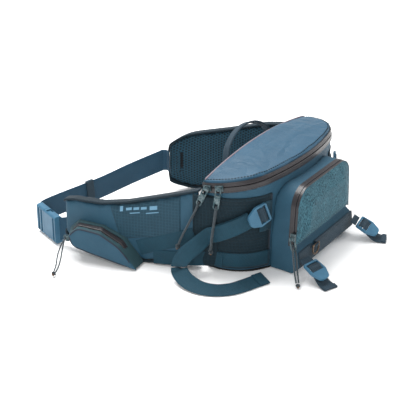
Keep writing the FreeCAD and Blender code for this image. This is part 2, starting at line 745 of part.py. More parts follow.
def buckle_frame():
    """x leaves the female half, z is up across the webbing, y is the outer face."""
    return frame_at(BUCKLE_MOUTH, BUCKLE_OUT, UP.cross(BUCKLE_OUT))


def make_buckle():
    place = buckle_frame()
    half = BUCKLE_WIDTH / 2
    thick = BUCKLE_THICKNESS / 2
    wall = BUCKLE_WALL
    body = box((-FEMALE_LENGTH, -thick, -half), (0, thick, half))
    body = body.makeFillet(BUCKLE_CORNER, [e for e in body.Edges if abs(e.Length - FEMALE_LENGTH) < 1])
    cavity_depth = PRONG_LENGTH + 2
    cavity = box((-cavity_depth, -thick + wall, -half + wall), (1, thick - wall, half - wall))
    window = box((-16, -thick + wall, -half - 1), (-5, thick - wall, half + 1))
    slot_half = BELT_WIDTH / 2 + SLOT_ROOM
    bar_slot = box((-FEMALE_LENGTH + 3, -thick - 1, -slot_half), (-FEMALE_LENGTH + 8, thick + 1, slot_half))
    save("buckle_female", placed(body.cut(cavity).cut(window).cut(bar_slot), place))

    gap = 0.6
    base = box((gap, -thick, -half), (MALE_LENGTH, thick, half))
    base = base.makeFillet(BUCKLE_CORNER, [e for e in base.Edges if abs(e.Length - (MALE_LENGTH - gap)) < 0.1])
    inner_slot = box((6, -thick - 1, -slot_half), (11, thick + 1, slot_half))
    outer_slot = box((15, -thick - 1, -slot_half), (20, thick + 1, slot_half))
    guide = box((-PRONG_LENGTH, -1.6, -3.5), (gap + 1, 1.6, 3.5))
    male = base.cut(inner_slot).cut(outer_slot).fuse(guide)
    save("buckle_male", placed(male.removeSplitter(), place))

    reach = half - wall - 0.4
    prong_thick = thick - wall - PRONG_CLEARANCE
    for name, s in (("upper", 1), ("lower", -1)):
        z = sorted((s * (reach - 8), s * reach))
        root = box((-PRONG_LENGTH + 2, -prong_thick, z[0]), (gap - 0.3, prong_thick, z[1]))
        save("buckle_latch_%s" % name, placed(root, place))
        pivot("buckle_latch_%s" % name, place.Base, Vector(0, 0, -s))


def make_belt():
    """Webbing from the right wing's tip to the male half, its keeper, and the stub on the left wing."""
    end = BUCKLE_MOUTH + BUCKLE_OUT * 17.5
    mid = Vector(-60, 262, 33)
    start_gap = 4.0
    start = FAR_TIP + (Vector(mid.x, mid.y, 0) - FAR_TIP).normalize() * start_gap + UP * 56
    before_end = Vector(-160, 293, 26.5)
    line = [start, Vector(-4, 238, 44), mid, before_end, end + Vector(3.2, 4.6, 0)]
    save("belt_webbing", ribbon([(p, UP) for p in line], BELT_WIDTH, WEBBING))

    along = (before_end - mid).normalize()
    centre = mid + along * 20
    fit = 0.5
    wall = 1.4
    long = 7
    high = BELT_WIDTH / 2 + fit
    deep = WEBBING / 2 + fit
    place = frame_at(centre, along, UP.cross(along))
    outer = box((-long, -deep - wall, -high - wall), (long, deep + wall, high + wall))
    inner = box((-long - 1, -deep, -high), (long + 1, deep, high))
    save("belt_keeper", placed(outer.cut(inner), place))
    pivot("keeper", centre, along)

    tip = LEFT_LINE[-1]
    inward = Vector(1, 0, 0)
    bar = BUCKLE_MOUTH - BUCKLE_OUT * (FEMALE_LENGTH - 4.5)
    off = WING_THICKNESS + WEBBING / 2 + 0.5
    first = Vector(LEFT_LINE[-2].x, LEFT_LINE[-2].y + 2, BELT_Z + 14) + inward * (off + 0.6)
    second = Vector(tip.x, tip.y + 2, BELT_Z + 5) + inward * off
    save("belt_stub", ribbon([(first, UP), (second, UP), (bar, UP)], BELT_WIDTH, WEBBING))


# ---------------------------------------------------------------- zip sliders, pulls and cords
def slider_block(width, depth):
    """Slider body on its zip: x along the zip, y outwards from the tape, z across."""
    return box((-width / 2, 0, -4), (width / 2, depth, 4))


PIN_OUT = 5.4


def slider_bail():
    bail = box((-2.6, 2.0, -2), (2.6, PIN_OUT + 2, 2))
    hole = Part.makeCylinder(PIN_RADIUS + PIN_CLEARANCE, 20, Vector(-10, PIN_OUT, 0), X_AXIS)
    return bail.cut(hole)


def pull_tab(length):
    """U-shaped pull: a pin at the top, two arms and a rounded foot with an eye for the cord."""
    half = 4.6
    thick = 1.1
    pin = Part.makeCylinder(PIN_RADIUS, 2 * half, Vector(-half, PIN_OUT, 0), X_AXIS)
    plate = prism(outline([Vector(-half, PIN_OUT - thick, 1.6), Vector(half, PIN_OUT - thick, 1.6),
                           Vector(half, PIN_OUT - thick, -length), Vector(-half, PIN_OUT - thick, -length)],
                          (1, 1, 4, 4)), Vector(0, 2 * thick, 0))
    upper_eye = box((-2.9, 0, -10), (2.9, 20, 3))
    lower_eye = box((-2.6, 0, -length + 2.2), (2.6, 20, -length + 9.5))
    return plate.cut(upper_eye).cut(lower_eye).fuse(pin)


def make_pull(name, origin, zip_along, outward, down, length):
    base = placed(slider_block(12, 3), frame_at(origin, zip_along, outward))
    across = down.cross(outward).normalize()
    tilt = frame_at(origin, across, outward)
    save("%s_slider" % name, base.fuse(placed(slider_bail(), tilt)))
    save("%s_pull" % name, placed(pull_tab(length), tilt))
    pin = tilt.multVec(Vector(0, PIN_OUT, 0))
    eye = tilt.multVec(Vector(0, PIN_OUT, -length + 5))
    pivot("%s_pull" % name, pin, across)
    print("%s eye at (%.1f %.1f %.1f)" % (name, *eye))


def zip_side_point(turn, out):
    """Point on the zip line, turn degrees round the left side arc."""
    angle = math.radians(turn)
    reach = SIDE_RADIUS + out
    x = -(TOP_HALF_WIDTH - SIDE_RADIUS + reach * math.cos(angle))
    return ZIP_PLANE.multVec(Vector(x, SIDE_CENTRE_Y - reach * math.sin(angle), 0))


REAR_SLIDER_TURN = 1.0
FRONT_SLIDER_TURN = 15.0


def make_main_pulls():
    for name, turn, down in (("main_rear", REAR_SLIDER_TURN, Vector(-0.05, 0.42, -0.88)),
                             ("main_front", FRONT_SLIDER_TURN, Vector(-0.12, 0.10, -1))):
        origin = zip_side_point(turn, ZIP_PROUD + 0.6)
        outward = origin - zip_side_point(turn, -20)
        outward.z = 0.0
        along = zip_side_point(turn + 4, 0) - zip_side_point(turn - 4, 0)
        make_pull(name, origin, along, outward, down, TAB_LENGTH)
    arc_centre = Vector(SIDE_RADIUS - TOP_HALF_WIDTH, SIDE_CENTRE_Y, 0)
    pivot("main_sliders", ZIP_PLANE.multVec(arc_centre), ZIP_PLANE.Rotation.multVec(UP))


def make_pocket_pulls():
    origin = Vector(-POCKET_HALF_WIDTH - ZIP_PROUD - 0.5, POCKET_MOUTH_Y - 1, POCKET_SILL_Z + 18)
    make_pull("pocket", origin, UP, Vector(-1, -0.15, 0), Vector(-0.1, -0.2, -1), POCKET_TAB_LENGTH)


def make_pouch_slider():
    """Slider at the end of the pouch's zip, with a ring for its cord."""
    along = Vector(POUCH_ALONG).normalize()
    outward = along.cross(UP) * -1
    ring = Part.makeTorus(3.2, 0.9, POUCH_RING, outward)
    block = placed(box((-5, -2.6, -3), (3, 3, 3)), frame_at(POUCH_RING - along * 3.4, UP, along))
    save("pouch_slider", block.cut(Part.makeCylinder(2.3, 20, POUCH_RING - outward * 10, outward)).fuse(ring))
    pivot("pouch_slider", POUCH_RING, UP)


def make_cords():
    for name, diameter, knot_radius, points in CORDS:
        route = [Vector(*p) for p in points]
        save("%s_cord" % name, cord_tube(name, route, diameter))
        end = (route[0] + route[-1]) * 0.5
        away = (end - (route[1] + route[-2]) * 0.5).normalize()
        save("%s_knot" % name, Part.makeSphere(knot_radius, end + away * (knot_radius - 0.2)))


# each route starts in the knot, goes up through the pull's eye and comes back to the knot
CORDS = (
    ("main_rear", CORD_DIAMETER, 4.5, (
        (-171.6, 28.7, 46), (-169.4, 25.4, 57), (-165.4, 18.4, 74), (-160.8, 10.3, 94), (-158.6, 5.2, 106.5),
        (-157.6, 2.2, 115.6), (-152, 3.4, 115.6), (-153.2, 6.4, 106.5), (-156.4, 11.2, 94), (-161.3, 19.2, 74),
        (-165.9, 26.2, 57), (-168.4, 29.3, 46))),
    ("main_front", CORD_DIAMETER, 4.5, (
        (-158.1, -19.8, 45), (-158.9, -20.9, 56), (-158.8, -22.9, 73), (-157.3, -25, 93), (-156.2, -26.1, 106),
        (-154.8, -26.7, 115.3), (-149.2, -25.3, 115.3), (-150.8, -24.9, 106), (-152.9, -24, 93),
        (-155, -22.1, 73), (-155.5, -20.1, 56), (-154.9, -19.2, 45))),
    ("pocket", CORD_DIAMETER, 4.2, (
        (-115.4, -142.4, 7.4), (-110.8, -137.4, 14.4), (-104.4, -131.6, 26), (-98, -126.2, 39.5),
        (-94.3, -122.9, 49.2), (-88.7, -122.1, 49.2), (-91.6, -127.8, 40), (-100, -134.4, 26.5),
        (-107.6, -140.2, 14.8), (-112.8, -144.8, 7.4))),
    ("pouch", POUCH_CORD_DIAMETER, 4.0, (
        (-284, 174.5, 4.6), (-273, 178, 5.2), (-257, 186, 10), (-243, 194, 18), (-232, 199, 26),
        (-226.5, 200.4, 31), (-221.5, 201.6, 31), (-221, 206, 25.5), (-231, 207, 17), (-248, 200, 9),
        (-267, 186.5, 5), (-282.5, 178.5, 4.6))),
)

make_compartment()
make_back()
make_side_fabric()
make_lid()
make_front_pocket()
make_lash()
make_dring()
make_handle()
make_wing("left", LEFT_LINE, LEFT_PROFILE, LEFT_RADII, 1)
make_wing("right", RIGHT_LINE, RIGHT_PROFILE, RIGHT_RADII, -1)
make_pouch()
make_tails(make_compression())
make_wing_straps()
make_buckle()
make_belt()
make_main_pulls()
make_pocket_pulls()
make_pouch_slider()
make_cords()
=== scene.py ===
# %% [markdown]
# # Waist pack with hip wings
# The pack is a D-shaped bag with a zipped lid, a zipped front pocket, two padded hip wings
# and a belt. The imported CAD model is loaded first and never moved. Hard parts keep their CAD
# shape and get a finish, and every soft part is built again here as cloth, padding, webbing
# or cord in the same place.

# %% Load the frame
import math
import bpy
import numpy as np
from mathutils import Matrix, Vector, noise
from mathutils.bvhtree import BVHTree


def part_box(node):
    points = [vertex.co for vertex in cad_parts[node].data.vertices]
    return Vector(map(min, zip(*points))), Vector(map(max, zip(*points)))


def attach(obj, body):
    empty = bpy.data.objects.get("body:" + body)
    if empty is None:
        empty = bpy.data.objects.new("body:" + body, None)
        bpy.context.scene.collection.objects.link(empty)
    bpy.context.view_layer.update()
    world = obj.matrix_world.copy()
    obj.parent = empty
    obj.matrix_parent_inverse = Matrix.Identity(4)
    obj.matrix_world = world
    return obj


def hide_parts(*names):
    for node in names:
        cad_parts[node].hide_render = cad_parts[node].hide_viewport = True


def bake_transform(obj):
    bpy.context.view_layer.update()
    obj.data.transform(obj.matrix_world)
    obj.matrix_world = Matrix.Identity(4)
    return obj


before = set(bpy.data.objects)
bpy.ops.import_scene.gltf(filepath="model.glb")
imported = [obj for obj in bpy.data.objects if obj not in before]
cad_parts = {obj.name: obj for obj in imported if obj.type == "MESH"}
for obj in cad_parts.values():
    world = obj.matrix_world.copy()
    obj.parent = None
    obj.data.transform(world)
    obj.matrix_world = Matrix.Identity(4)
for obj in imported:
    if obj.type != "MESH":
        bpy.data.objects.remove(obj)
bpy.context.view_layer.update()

# %% [markdown]
# ## Camera
# A long lens held fairly high and well round to the left flattens the perspective. A camera
# can be placed by hand or from angles round a target. Angles are used, because they read like
# a tripod's settings.

# %% Camera
MM = 0.001
CAMERA_AZIMUTH = math.radians(-56.4)
CAMERA_ELEVATION = math.radians(26.3)
CAMERA_DISTANCE = 1.907
CAMERA_TARGET = Vector((-0.0405, 0.0766, 0.0528))
CAMERA_LENS = 108.3
back = Vector((math.sin(CAMERA_AZIMUTH) * math.cos(CAMERA_ELEVATION),
               -math.cos(CAMERA_AZIMUTH) * math.cos(CAMERA_ELEVATION),
               math.sin(CAMERA_ELEVATION)))
camera = bpy.data.objects.new("camera", bpy.data.cameras.new("camera"))
bpy.context.collection.objects.link(camera)
camera.data.sensor_width = 36
camera.data.lens = CAMERA_LENS
camera.location = CAMERA_TARGET + back * CAMERA_DISTANCE
camera.rotation_mode = "QUATERNION"
camera.rotation_quaternion = (-back).to_track_quat("-Z", "Y")
bpy.context.scene.camera = camera
print("camera at", [round(c, 3) for c in camera.location])

# %% [markdown]
# ## Light and floor
# The pack is dark, so it wants a big soft light overhead and behind, which puts a pale gleam
# on the lid, and a weaker one from the camera's side that opens the shadows. The floor is
# plain and pale, and nearly as bright as the sky round it.

# %% Light and floor
def lamp(name, place, size, power, aim):
    light = bpy.data.objects.new(name, bpy.data.lights.new(name, "AREA"))
    bpy.context.collection.objects.link(light)
    light.data.size = size
    light.data.energy = power
    light.location = place
    light.rotation_mode = "QUATERNION"
    light.rotation_quaternion = (Vector(aim) - Vector(place)).to_track_quat("-Z", "Y")
    return light


SKY_STRENGTH = 0.62
lamp("overhead", (0.15, 0.6, 1.5), 1.2, 46, (0, 0, 0.1))
lamp("left_fill", (-1.5, -0.6, 0.9), 1.0, 13, (0, 0, 0.08))
lamp("right_rim", (0.7, -1.3, 0.8), 0.8, 7, (0, -0.05, 0.08))
world = bpy.data.worlds.new("studio")
bpy.context.scene.world = world
world.use_nodes = True
sky = world.node_tree.nodes["Background"]
sky.inputs["Color"].default_value = (1, 1, 1, 1)
sky.inputs["Strength"].default_value = SKY_STRENGTH
bpy.context.scene.view_settings.view_transform = "Standard"

# %% [markdown]
# ## Node helper
# A procedural finish is a small net of nodes. Short helpers keep the nets readable: they start
# a material, add a node with its options and inputs, join it to the shader, and do sums.

# %% Node helper
def start_finish(name, roughness, metallic=0.0, sheen=0.0, coat=0.0, specular=0.22):
    finish = bpy.data.materials.new(name)
    finish.use_nodes = True
    shader = finish.node_tree.nodes["Principled BSDF"]
    shader.inputs["Roughness"].default_value = roughness
    shader.inputs["Metallic"].default_value = metallic
    shader.inputs["Sheen Weight"].default_value = sheen
    shader.inputs["Sheen Roughness"].default_value = 0.4
    shader.inputs["Coat Weight"].default_value = coat
    shader.inputs["Coat Roughness"].default_value = 0.25
    shader.inputs["Specular IOR Level"].default_value = specular
    return finish


def put(finish, kind, inputs, **options):
    made = finish.node_tree.nodes.new(kind)
    for key, value in options.items():
        setattr(made, key, value)
    for key, value in inputs.items():
        if isinstance(value, bpy.types.NodeSocket):
            finish.node_tree.links.new(value, made.inputs[key])
        else:
            made.inputs[key].default_value = value
    return made.outputs[0]


def plug_in(finish, key, socket):
    shader = finish.node_tree.nodes["Principled BSDF"]
    finish.node_tree.links.new(socket, shader.inputs[key])


def sums(finish, operation, first, second, third=0.0):
    return put(finish, "ShaderNodeMath", {0: first, 1: second, 2: third}, operation=operation)


SHADE_DARKENING = 0.62                  # painted shade: every colour is darkened to this share, as cloth looks in shadow


def srgb(red, green, blue):
    linear = []
    for value in (red, green, blue):
        share = value / 255
        linear.append(share / 12.92 if share <= 0.04045 else ((share + 0.055) / 1.055) ** 2.4)
    # every colour is darkened here by the painted shade share
    return (*[value * SHADE_DARKENING for value in linear], 1.0)


print("helpers ready")

# %% [markdown]
# ## Cloth finishes
# Each fabric here is one weave seen at its own scale: threads a few tenths of a millimetre
# apart, larger patches where the dye or the light takes differently, and for rip-stop a
# coarser grid of thick threads. An image could show that, but nodes driven by a flat map in
# metres keep the real scale on every panel. The thread pattern feeds both colour and bump.

# %% Cloth finishes
TWO_PI = 2 * math.pi
GRID_SHIFT = 9.0            # keeps the map's numbers above nought under the grid
GRID_LINE = 0.0005


def flat_map(finish):
    texture = finish.node_tree.nodes.new("ShaderNodeTexCoord")
    split = finish.node_tree.nodes.new("ShaderNodeSeparateXYZ")
    finish.node_tree.links.new(texture.outputs["UV"], split.inputs[0])
    return split.outputs["X"], split.outputs["Y"], texture.outputs["Object"]


def wave(finish, along, pitch):
    turned = sums(finish, "MULTIPLY", along, TWO_PI / pitch)
    return sums(finish, "SINE", turned, 0.0)


def blotches(finish, place, scale, detail=3.0, rough=0.6):
    return put(finish, "ShaderNodeTexNoise",
               {"Vector": place, "Scale": scale, "Detail": detail, "Roughness": rough})


def tint(finish, share, low, high):
    """Colours the shader from low to high by the share."""
    put(finish, "ShaderNodeMix", {0: share, 6: low, 7: high}, data_type="RGBA")
    plug_in(finish, "Base Color", finish.node_tree.nodes[-1].outputs[2])


def raise_bump(finish, height, depth, strength=1.0):
    bump = put(finish, "ShaderNodeBump", {"Height": height, "Distance": depth, "Strength": strength})
    plug_in(finish, "Normal", bump)


def cloth(name, dark, light, roughness, thread, relief, sheen=0.05, patch=26.0, grid=0.0,
          diagonal=False, streak=0.0, coat=0.0):
    finish = start_finish(name, roughness, sheen=sheen, coat=coat)
    u, v, place = flat_map(finish)
    if diagonal:
        first = wave(finish, sums(finish, "ADD", u, v), thread)
        second = wave(finish, sums(finish, "SUBTRACT", u, v), thread * 2.6)
    else:
        first = wave(finish, u, thread)
        second = wave(finish, v, thread)
    weave = sums(finish, "MULTIPLY", first, second)
    weave = sums(finish, "MULTIPLY_ADD", weave, 0.5, 0.5)
    if grid:
        over, down = (sums(finish, "PINGPONG", sums(finish, "ADD", way, GRID_SHIFT), grid / 2)
                      for way in (u, v))
        near = sums(finish, "MINIMUM", over, down)
        line = sums(finish, "LESS_THAN", near, GRID_LINE)
        weave = sums(finish, "MAXIMUM", weave, sums(finish, "MULTIPLY", line, 1.35))
    large = blotches(finish, place, patch)
    fine = blotches(finish, place, 700.0, 2.0)
    share = sums(finish, "MULTIPLY_ADD", weave, 0.35, sums(finish, "MULTIPLY", large, 0.55))
    share = sums(finish, "MULTIPLY_ADD", fine, 0.3, sums(finish, "SUBTRACT", share, 0.1))
    if streak:
        stretched = put(finish, "ShaderNodeMapping", {"Vector": place, "Scale": (900.0, 900.0, 260.0)})
        flecks = blotches(finish, stretched, 1.0, 4.0, 0.75)
        flecks = sums(finish, "MULTIPLY_ADD", flecks, streak, -streak / 2)
        share = sums(finish, "ADD", share, flecks)
    share = sums(finish, "MINIMUM", sums(finish, "MAXIMUM", share, 0.0), 1.0)
    tint(finish, share, dark, light)
    height = sums(finish, "MULTIPLY_ADD", fine, 0.5, weave)
    raise_bump(finish, height, relief)
    return finish


lid_cloth = cloth("lid_cloth", srgb(30, 72, 98), srgb(62, 108, 136), 0.42, 0.0011, 0.00010, sheen=0.08)
body_cloth = cloth("body_cloth", srgb(32, 72, 94), srgb(60, 106, 130), 0.55, 0.0012, 0.00014)
ripstop_cloth = cloth("ripstop_cloth", srgb(3, 20, 28), srgb(20, 54, 68), 0.7, 0.0019, 0.00035,
                      diagonal=True, grid=0.0055)
overlay_cloth = cloth("overlay_cloth", srgb(20, 52, 68), srgb(50, 92, 112), 0.6, 0.0016, 0.0003, grid=0.005)
heather_cloth = cloth("heather_cloth", srgb(4, 40, 56), srgb(84, 142, 160), 0.75, 0.0016, 0.0003,
                      streak=4.5, patch=60.0)
base_cloth = cloth("base_cloth", srgb(22, 24, 28), srgb(50, 48, 48), 0.5, 0.0014, 0.0002, patch=50.0)
tape_cloth = cloth("tape_cloth", srgb(26, 26, 30), srgb(66, 62, 66), 0.33, 0.0009, 0.00006, sheen=0.0,
                   patch=40.0, coat=0.35)
binding_cloth = cloth("binding_cloth", srgb(10, 28, 38), srgb(34, 60, 74), 0.6, 0.0014, 0.0003)
gusset_cloth = cloth("gusset_cloth", srgb(30, 62, 70), srgb(66, 100, 108), 0.6, 0.0013, 0.0002)
print("cloths", len(bpy.data.materials))

# %% [markdown]
# ## Webbing, mesh, plastic, metal and cord finishes
# Webbing shows ribs across its length, closer and flatter at the two edges. Spacer mesh is a
# lattice of small hexagonal holes. The buckles are moulded plastic with a faint grain, and the
# zip hardware is painted metal rubbed bright in places. Cord is a braid of crossing strands.

# %% Webbing, mesh, plastic, metal and cord finishes
def webbing_finish(name, dark, light, pitch=0.0021, relief=0.00035):
    finish = start_finish(name, 0.62, sheen=0.05)
    u, v, place = flat_map(finish)
    ribs = wave(finish, v, pitch)
    lanes = wave(finish, u, 0.0034)
    shifted = wave(finish, sums(finish, "ADD", v, pitch / 2), pitch)
    flip = sums(finish, "GREATER_THAN", lanes, 0.0)
    weave = put(finish, "ShaderNodeMix", {0: flip, 2: ribs, 3: shifted})
    weave = sums(finish, "MULTIPLY_ADD", weave, 0.5, 0.5)
    fine = blotches(finish, place, 900.0, 2.0)
    wear = blotches(finish, place, 30.0)
    share = sums(finish, "MULTIPLY_ADD", weave, 0.45, sums(finish, "MULTIPLY", fine, 0.25))
    share = sums(finish, "MULTIPLY_ADD", wear, 0.4, share)
    tint(finish, share, dark, light)
    raise_bump(finish, weave, relief)
    return finish


SIXTY = 0.866               # sine of sixty degrees


def mesh_finish(name, hole, strand, pitch=0.0046):
    """Three waves at sixty degrees add up to a triangular lattice of round holes."""
    finish = start_finish(name, 0.7, sheen=0.05)
    u, v, place = flat_map(finish)
    near = pitch * SIXTY
    half_u = sums(finish, "MULTIPLY", u, 0.5)
    tall_v = sums(finish, "MULTIPLY", v, SIXTY)
    first = wave(finish, u, near)
    second = wave(finish, sums(finish, "ADD", half_u, tall_v), near)
    third = wave(finish, sums(finish, "SUBTRACT", half_u, tall_v), near)
    lattice = sums(finish, "ADD", sums(finish, "SUBTRACT", first, second), third)
    rim = put(finish, "ShaderNodeMapRange", {"Value": lattice, "From Min": 0.1, "From Max": 1.3})
    patches = blotches(finish, place, 30.0)
    share = sums(finish, "MULTIPLY_ADD", rim, -0.8, sums(finish, "MULTIPLY_ADD", patches, 0.3, 0.75))
    share = sums(finish, "MAXIMUM", share, 0.0)
    tint(finish, share, hole, strand)
    raise_bump(finish, sums(finish, "SUBTRACT", 1.0, rim), 0.0009)
    return finish


def moulded_finish(name, dark, light, roughness=0.38):
    finish = start_finish(name, roughness)
    place = flat_map(finish)[2]
    grain = blotches(finish, place, 1600.0, 2.0)
    cloud = blotches(finish, place, 60.0)
    share = sums(finish, "MULTIPLY_ADD", grain, 0.35, sums(finish, "MULTIPLY", cloud, 0.65))
    tint(finish, share, dark, light)
    raise_bump(finish, grain, 0.00006)
    return finish


def metal_finish(name, paint, bare, roughness=0.35, metallic=0.75):
    finish = start_finish(name, roughness, metallic=metallic)
    place = flat_map(finish)[2]
    rubbed = blotches(finish, place, 240.0, 5.0, 0.7)
    share = put(finish, "ShaderNodeMapRange", {"Value": rubbed, "From Min": 0.42, "From Max": 0.68})
    tint(finish, share, paint, bare)
    raise_bump(finish, rubbed, 0.0001)
    return finish


STRAND = 0.0024


def braid_finish(name, dark, light):
    finish = start_finish(name, 0.65, sheen=0.25)
    u, v, place = flat_map(finish)
    left, right = (wave(finish, sums(finish, way, sums(finish, "MULTIPLY", u, 3 * STRAND), v), STRAND)
                   for way in ("ADD", "SUBTRACT"))
    strands = sums(finish, "MULTIPLY_ADD", sums(finish, "MULTIPLY", left, right), 0.5, 0.5)
    fine = blotches(finish, place, 1200.0)
    share = sums(finish, "MULTIPLY_ADD", strands, 0.7, sums(finish, "MULTIPLY", fine, 0.4))
    tint(finish, share, dark, light)
    raise_bump(finish, strands, 0.0004)
    return finish


def cut_end_finish(name, dark, light):
    finish = start_finish(name, 0.55)
    place = flat_map(finish)[2]
    melt = blotches(finish, place, 900.0, 4.0)
    tint(finish, melt, dark, light)
    raise_bump(finish, melt, 0.0003)
    return finish


print("finish helpers ready")

# %% Webbing, hard and corded finishes
teal_webbing = webbing_finish("teal_webbing", srgb(4, 30, 42), srgb(40, 94, 116))
slate_webbing = webbing_finish("slate_webbing", srgb(18, 36, 50), srgb(58, 84, 100))
belt_webbing_finish = webbing_finish("belt_webbing_finish", srgb(16, 48, 68), srgb(56, 102, 130), 0.0024)
spacer = mesh_finish("spacer", srgb(4, 20, 28), srgb(40, 84, 104))
buckle_plastic = moulded_finish("buckle_plastic", srgb(50, 98, 128), srgb(88, 140, 170))
sheet_plastic = moulded_finish("sheet_plastic", srgb(30, 32, 34), srgb(60, 62, 64), 0.5)
slider_metal = metal_finish("slider_metal", srgb(58, 84, 92), srgb(140, 156, 160), 0.4, 0.5)
ring_metal = metal_finish("ring_metal", srgb(96, 78, 66), srgb(170, 148, 128), 0.3)
cord_braid = braid_finish("cord_braid", srgb(26, 38, 46), srgb(84, 98, 106))
cut_end = cut_end_finish("cut_end", srgb(84, 58, 40), srgb(150, 112, 80))
thread = cut_end_finish("thread", srgb(6, 12, 18), srgb(24, 34, 44))
piping_cord = cut_end_finish("piping_cord", srgb(26, 36, 48), srgb(60, 74, 90))
# real piping, coloured pale pink as a painted highlight along the lid's back edge
highlight_piping = cut_end_finish("highlight_piping", srgb(118, 112, 124), srgb(168, 150, 158))
ink = cut_end_finish("ink", srgb(96, 150, 186), srgb(140, 188, 214))
print("finishes", len(bpy.data.materials))

# %% [markdown]
# ## Mesh helpers
# Three ways of making a soft piece come back again and again. A sweep carries a small section
# along a line and suits webbing, zip tape and piping. A wrap drops rows of points onto a CAD
# surface and suits a single layer of cloth. A soft copy re-knits a CAD solid into even quads
# and relaxes it, which suits sewn shells and pads. All three get a flat map in metres.

# %% Mesh pieces
UP = Vector((0, 0, 1))


def v(x, y, z):
    return Vector((x, y, z)) * MM


def mirrored(place, sign=-1):
    return Vector((place.x * sign, place.y, place.z))


def mesh_piece(name, points, faces, finish, flat=None):
    mesh = bpy.data.meshes.new(name)
    mesh.from_pydata([tuple(p) for p in points], [], faces)
    mesh.materials.append(finish)
    if flat is not None:
        corner = np.empty(len(mesh.loops), int)
        mesh.loops.foreach_get("vertex_index", corner)
        layer = mesh.uv_layers.new(name="flat")
        layer.data.foreach_set("uv", np.array(flat, float)[corner].ravel())
    mesh.polygons.foreach_set("use_smooth", np.ones(len(mesh.polygons), bool))
    mesh.set_sharp_from_angle(angle=math.radians(50))
    piece = bpy.data.objects.new(name, mesh)
    bpy.context.collection.objects.link(piece)
    return piece


def join_body(piece, body, slot, *nodes):
    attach(piece, body)
    if nodes:
        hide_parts(*nodes)
    return piece


def grid_faces(rows, columns):
    """Quads between rows + 1 lines of columns + 1 points."""
    width = columns + 1
    return [(i * width + k, i * width + k + 1, (i + 1) * width + k + 1, (i + 1) * width + k)
            for i in range(rows) for k in range(columns)]


print("mesh pieces ready")

# %% Sweeps
def catmull(points, step):
    """Smooth line through the points, about one point each step."""
    made = []
    last = len(points) - 1
    for i in range(last):
        a, b, c, d = (points[max(i - 1, 0)], points[i], points[i + 1], points[min(i + 2, last)])
        count = max(1, round((c - b).length / step))
        for k in range(count):
            t = k / count
            made.append(0.5 * (2 * b + (c - a) * t + (2 * a - 5 * b + 4 * c - d) * t * t
                               + (3 * b - a - 3 * c + d) * t ** 3))
    made.append(points[-1])
    return made


def sweep(name, line, across, section, finish, closed_line=False):
    """A closed section, as (across, outward) pairs, carried along a line."""
    points, flat, faces = [], [], []
    size = len(section)
    run = 0.0
    total = len(line)
    girth = [0.0]
    for k in range(1, size):
        a, b = section[k - 1], section[k]
        girth.append(girth[-1] + math.hypot(b[0] - a[0], b[1] - a[1]))
    for i in range(total):
        before = line[(i - 1) % total] if closed_line else line[max(i - 1, 0)]
        after = line[(i + 1) % total] if closed_line else line[min(i + 1, total - 1)]
        along = (after - before).normalized()
        side = (across[i] - along * across[i].dot(along)).normalized()
        out = side.cross(along)
        if i:
            run += (line[i] - line[i - 1]).length
        for k, (s, n) in enumerate(section):
            points.append(line[i] + side * s + out * n)
            flat.append((girth[k], run))
    rings = total if closed_line else total - 1
    for i in range(rings):
        j = (i + 1) % total
        for k in range(size):
            m = (k + 1) % size
            faces.append((i * size + k, i * size + m, j * size + m, j * size + k))
    if not closed_line:
        faces.append(tuple(range(size))[::-1])
        faces.append(tuple(range((total - 1) * size, total * size)))
    return mesh_piece(name, points, faces, finish, flat)


def selvedge(width, thick, columns=8):
    """Section of a webbing: flat faces, round edges a little thicker than the middle."""
    top = []
    for k in range(columns + 1):
        share = -1 + 2 * k / columns
        s = share * (width / 2 - thick * 0.35)
        top.append((s, thick / 2 * (1.0 if abs(share) > 0.8 else 0.86)))
    round_edge = [(width / 2, thick * 0.2), (width / 2, -thick * 0.2)]
    bottom = [(s, -n) for s, n in top[::-1]]
    other_edge = [(-width / 2, -thick * 0.2), (-width / 2, thick * 0.2)]
    return top + round_edge + bottom + other_edge


def circle(radius, sides=8):
    return [(radius * math.cos(TWO_PI * k / sides), radius * math.sin(TWO_PI * k / sides))
            for k in range(sides)]


def webbing(name, stations, width, thick, finish, step=2.5):
    """Stations are (centre, width direction) pairs in metres."""
    centres = [s[0] for s in stations]
    sides = [Vector(s[1]).normalized() for s in stations]
    line = catmull(centres, step * MM)
    across = []
    for i in range(len(centres) - 1):
        count = max(1, round((centres[i + 1] - centres[i]).length / (step * MM)))
        for k in range(count):
            across.append(sides[i].lerp(sides[i + 1], k / count))
    across.append(sides[-1])
    return sweep(name, line, across, selvedge(width, thick), finish)


def tube(name, line, radius, finish, closed_line=False):
    across = []
    for i in range(len(line)):
        along = (line[min(i + 1, len(line) - 1)] - line[max(i - 1, 0)]).normalized()
        across.append(UP if abs(along.z) < 0.9 else Vector((1, 0, 0)))
    return sweep(name, line, across, circle(radius), finish, closed_line)


def merge(name, pieces):
    """Joins pieces of one finish into one object."""
    points, faces, flat = [], [], []
    for piece in pieces:
        start = len(points)
        mesh = piece.data
        points += [p.co.copy() for p in mesh.vertices]
        place = {}
        layer = mesh.uv_layers[0].data
        for face in mesh.polygons:
            faces.append(tuple(start + i for i in face.vertices))
            for corner in face.loop_indices:
                place[mesh.loops[corner].vertex_index] = tuple(layer[corner].uv)
        flat += [place.get(i, (0, 0)) for i in range(len(mesh.vertices))]
    finish = pieces[0].data.materials[0]
    for piece in pieces:
        bpy.data.objects.remove(piece)
    return mesh_piece(name, points, faces, finish, flat)


print("sweeps ready")

# %% [markdown]
# A soft copy loses its map when it is knitted again, so each face is mapped from the side that
# it looks to. Wrinkles come from smooth noise that pushes points in along their normals. They
# could be sculpted, but noise stretched along one direction reads as pulled cloth.

# %% Shapes read, settled and mapped
def node_shape(*names):
    points, faces = [], []
    for name in names:
        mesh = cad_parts[name].data
        start = len(points)
        points += [p.co.copy() for p in mesh.vertices]
        faces += [[start + i for i in face.vertices] for face in mesh.polygons]
    return points, faces


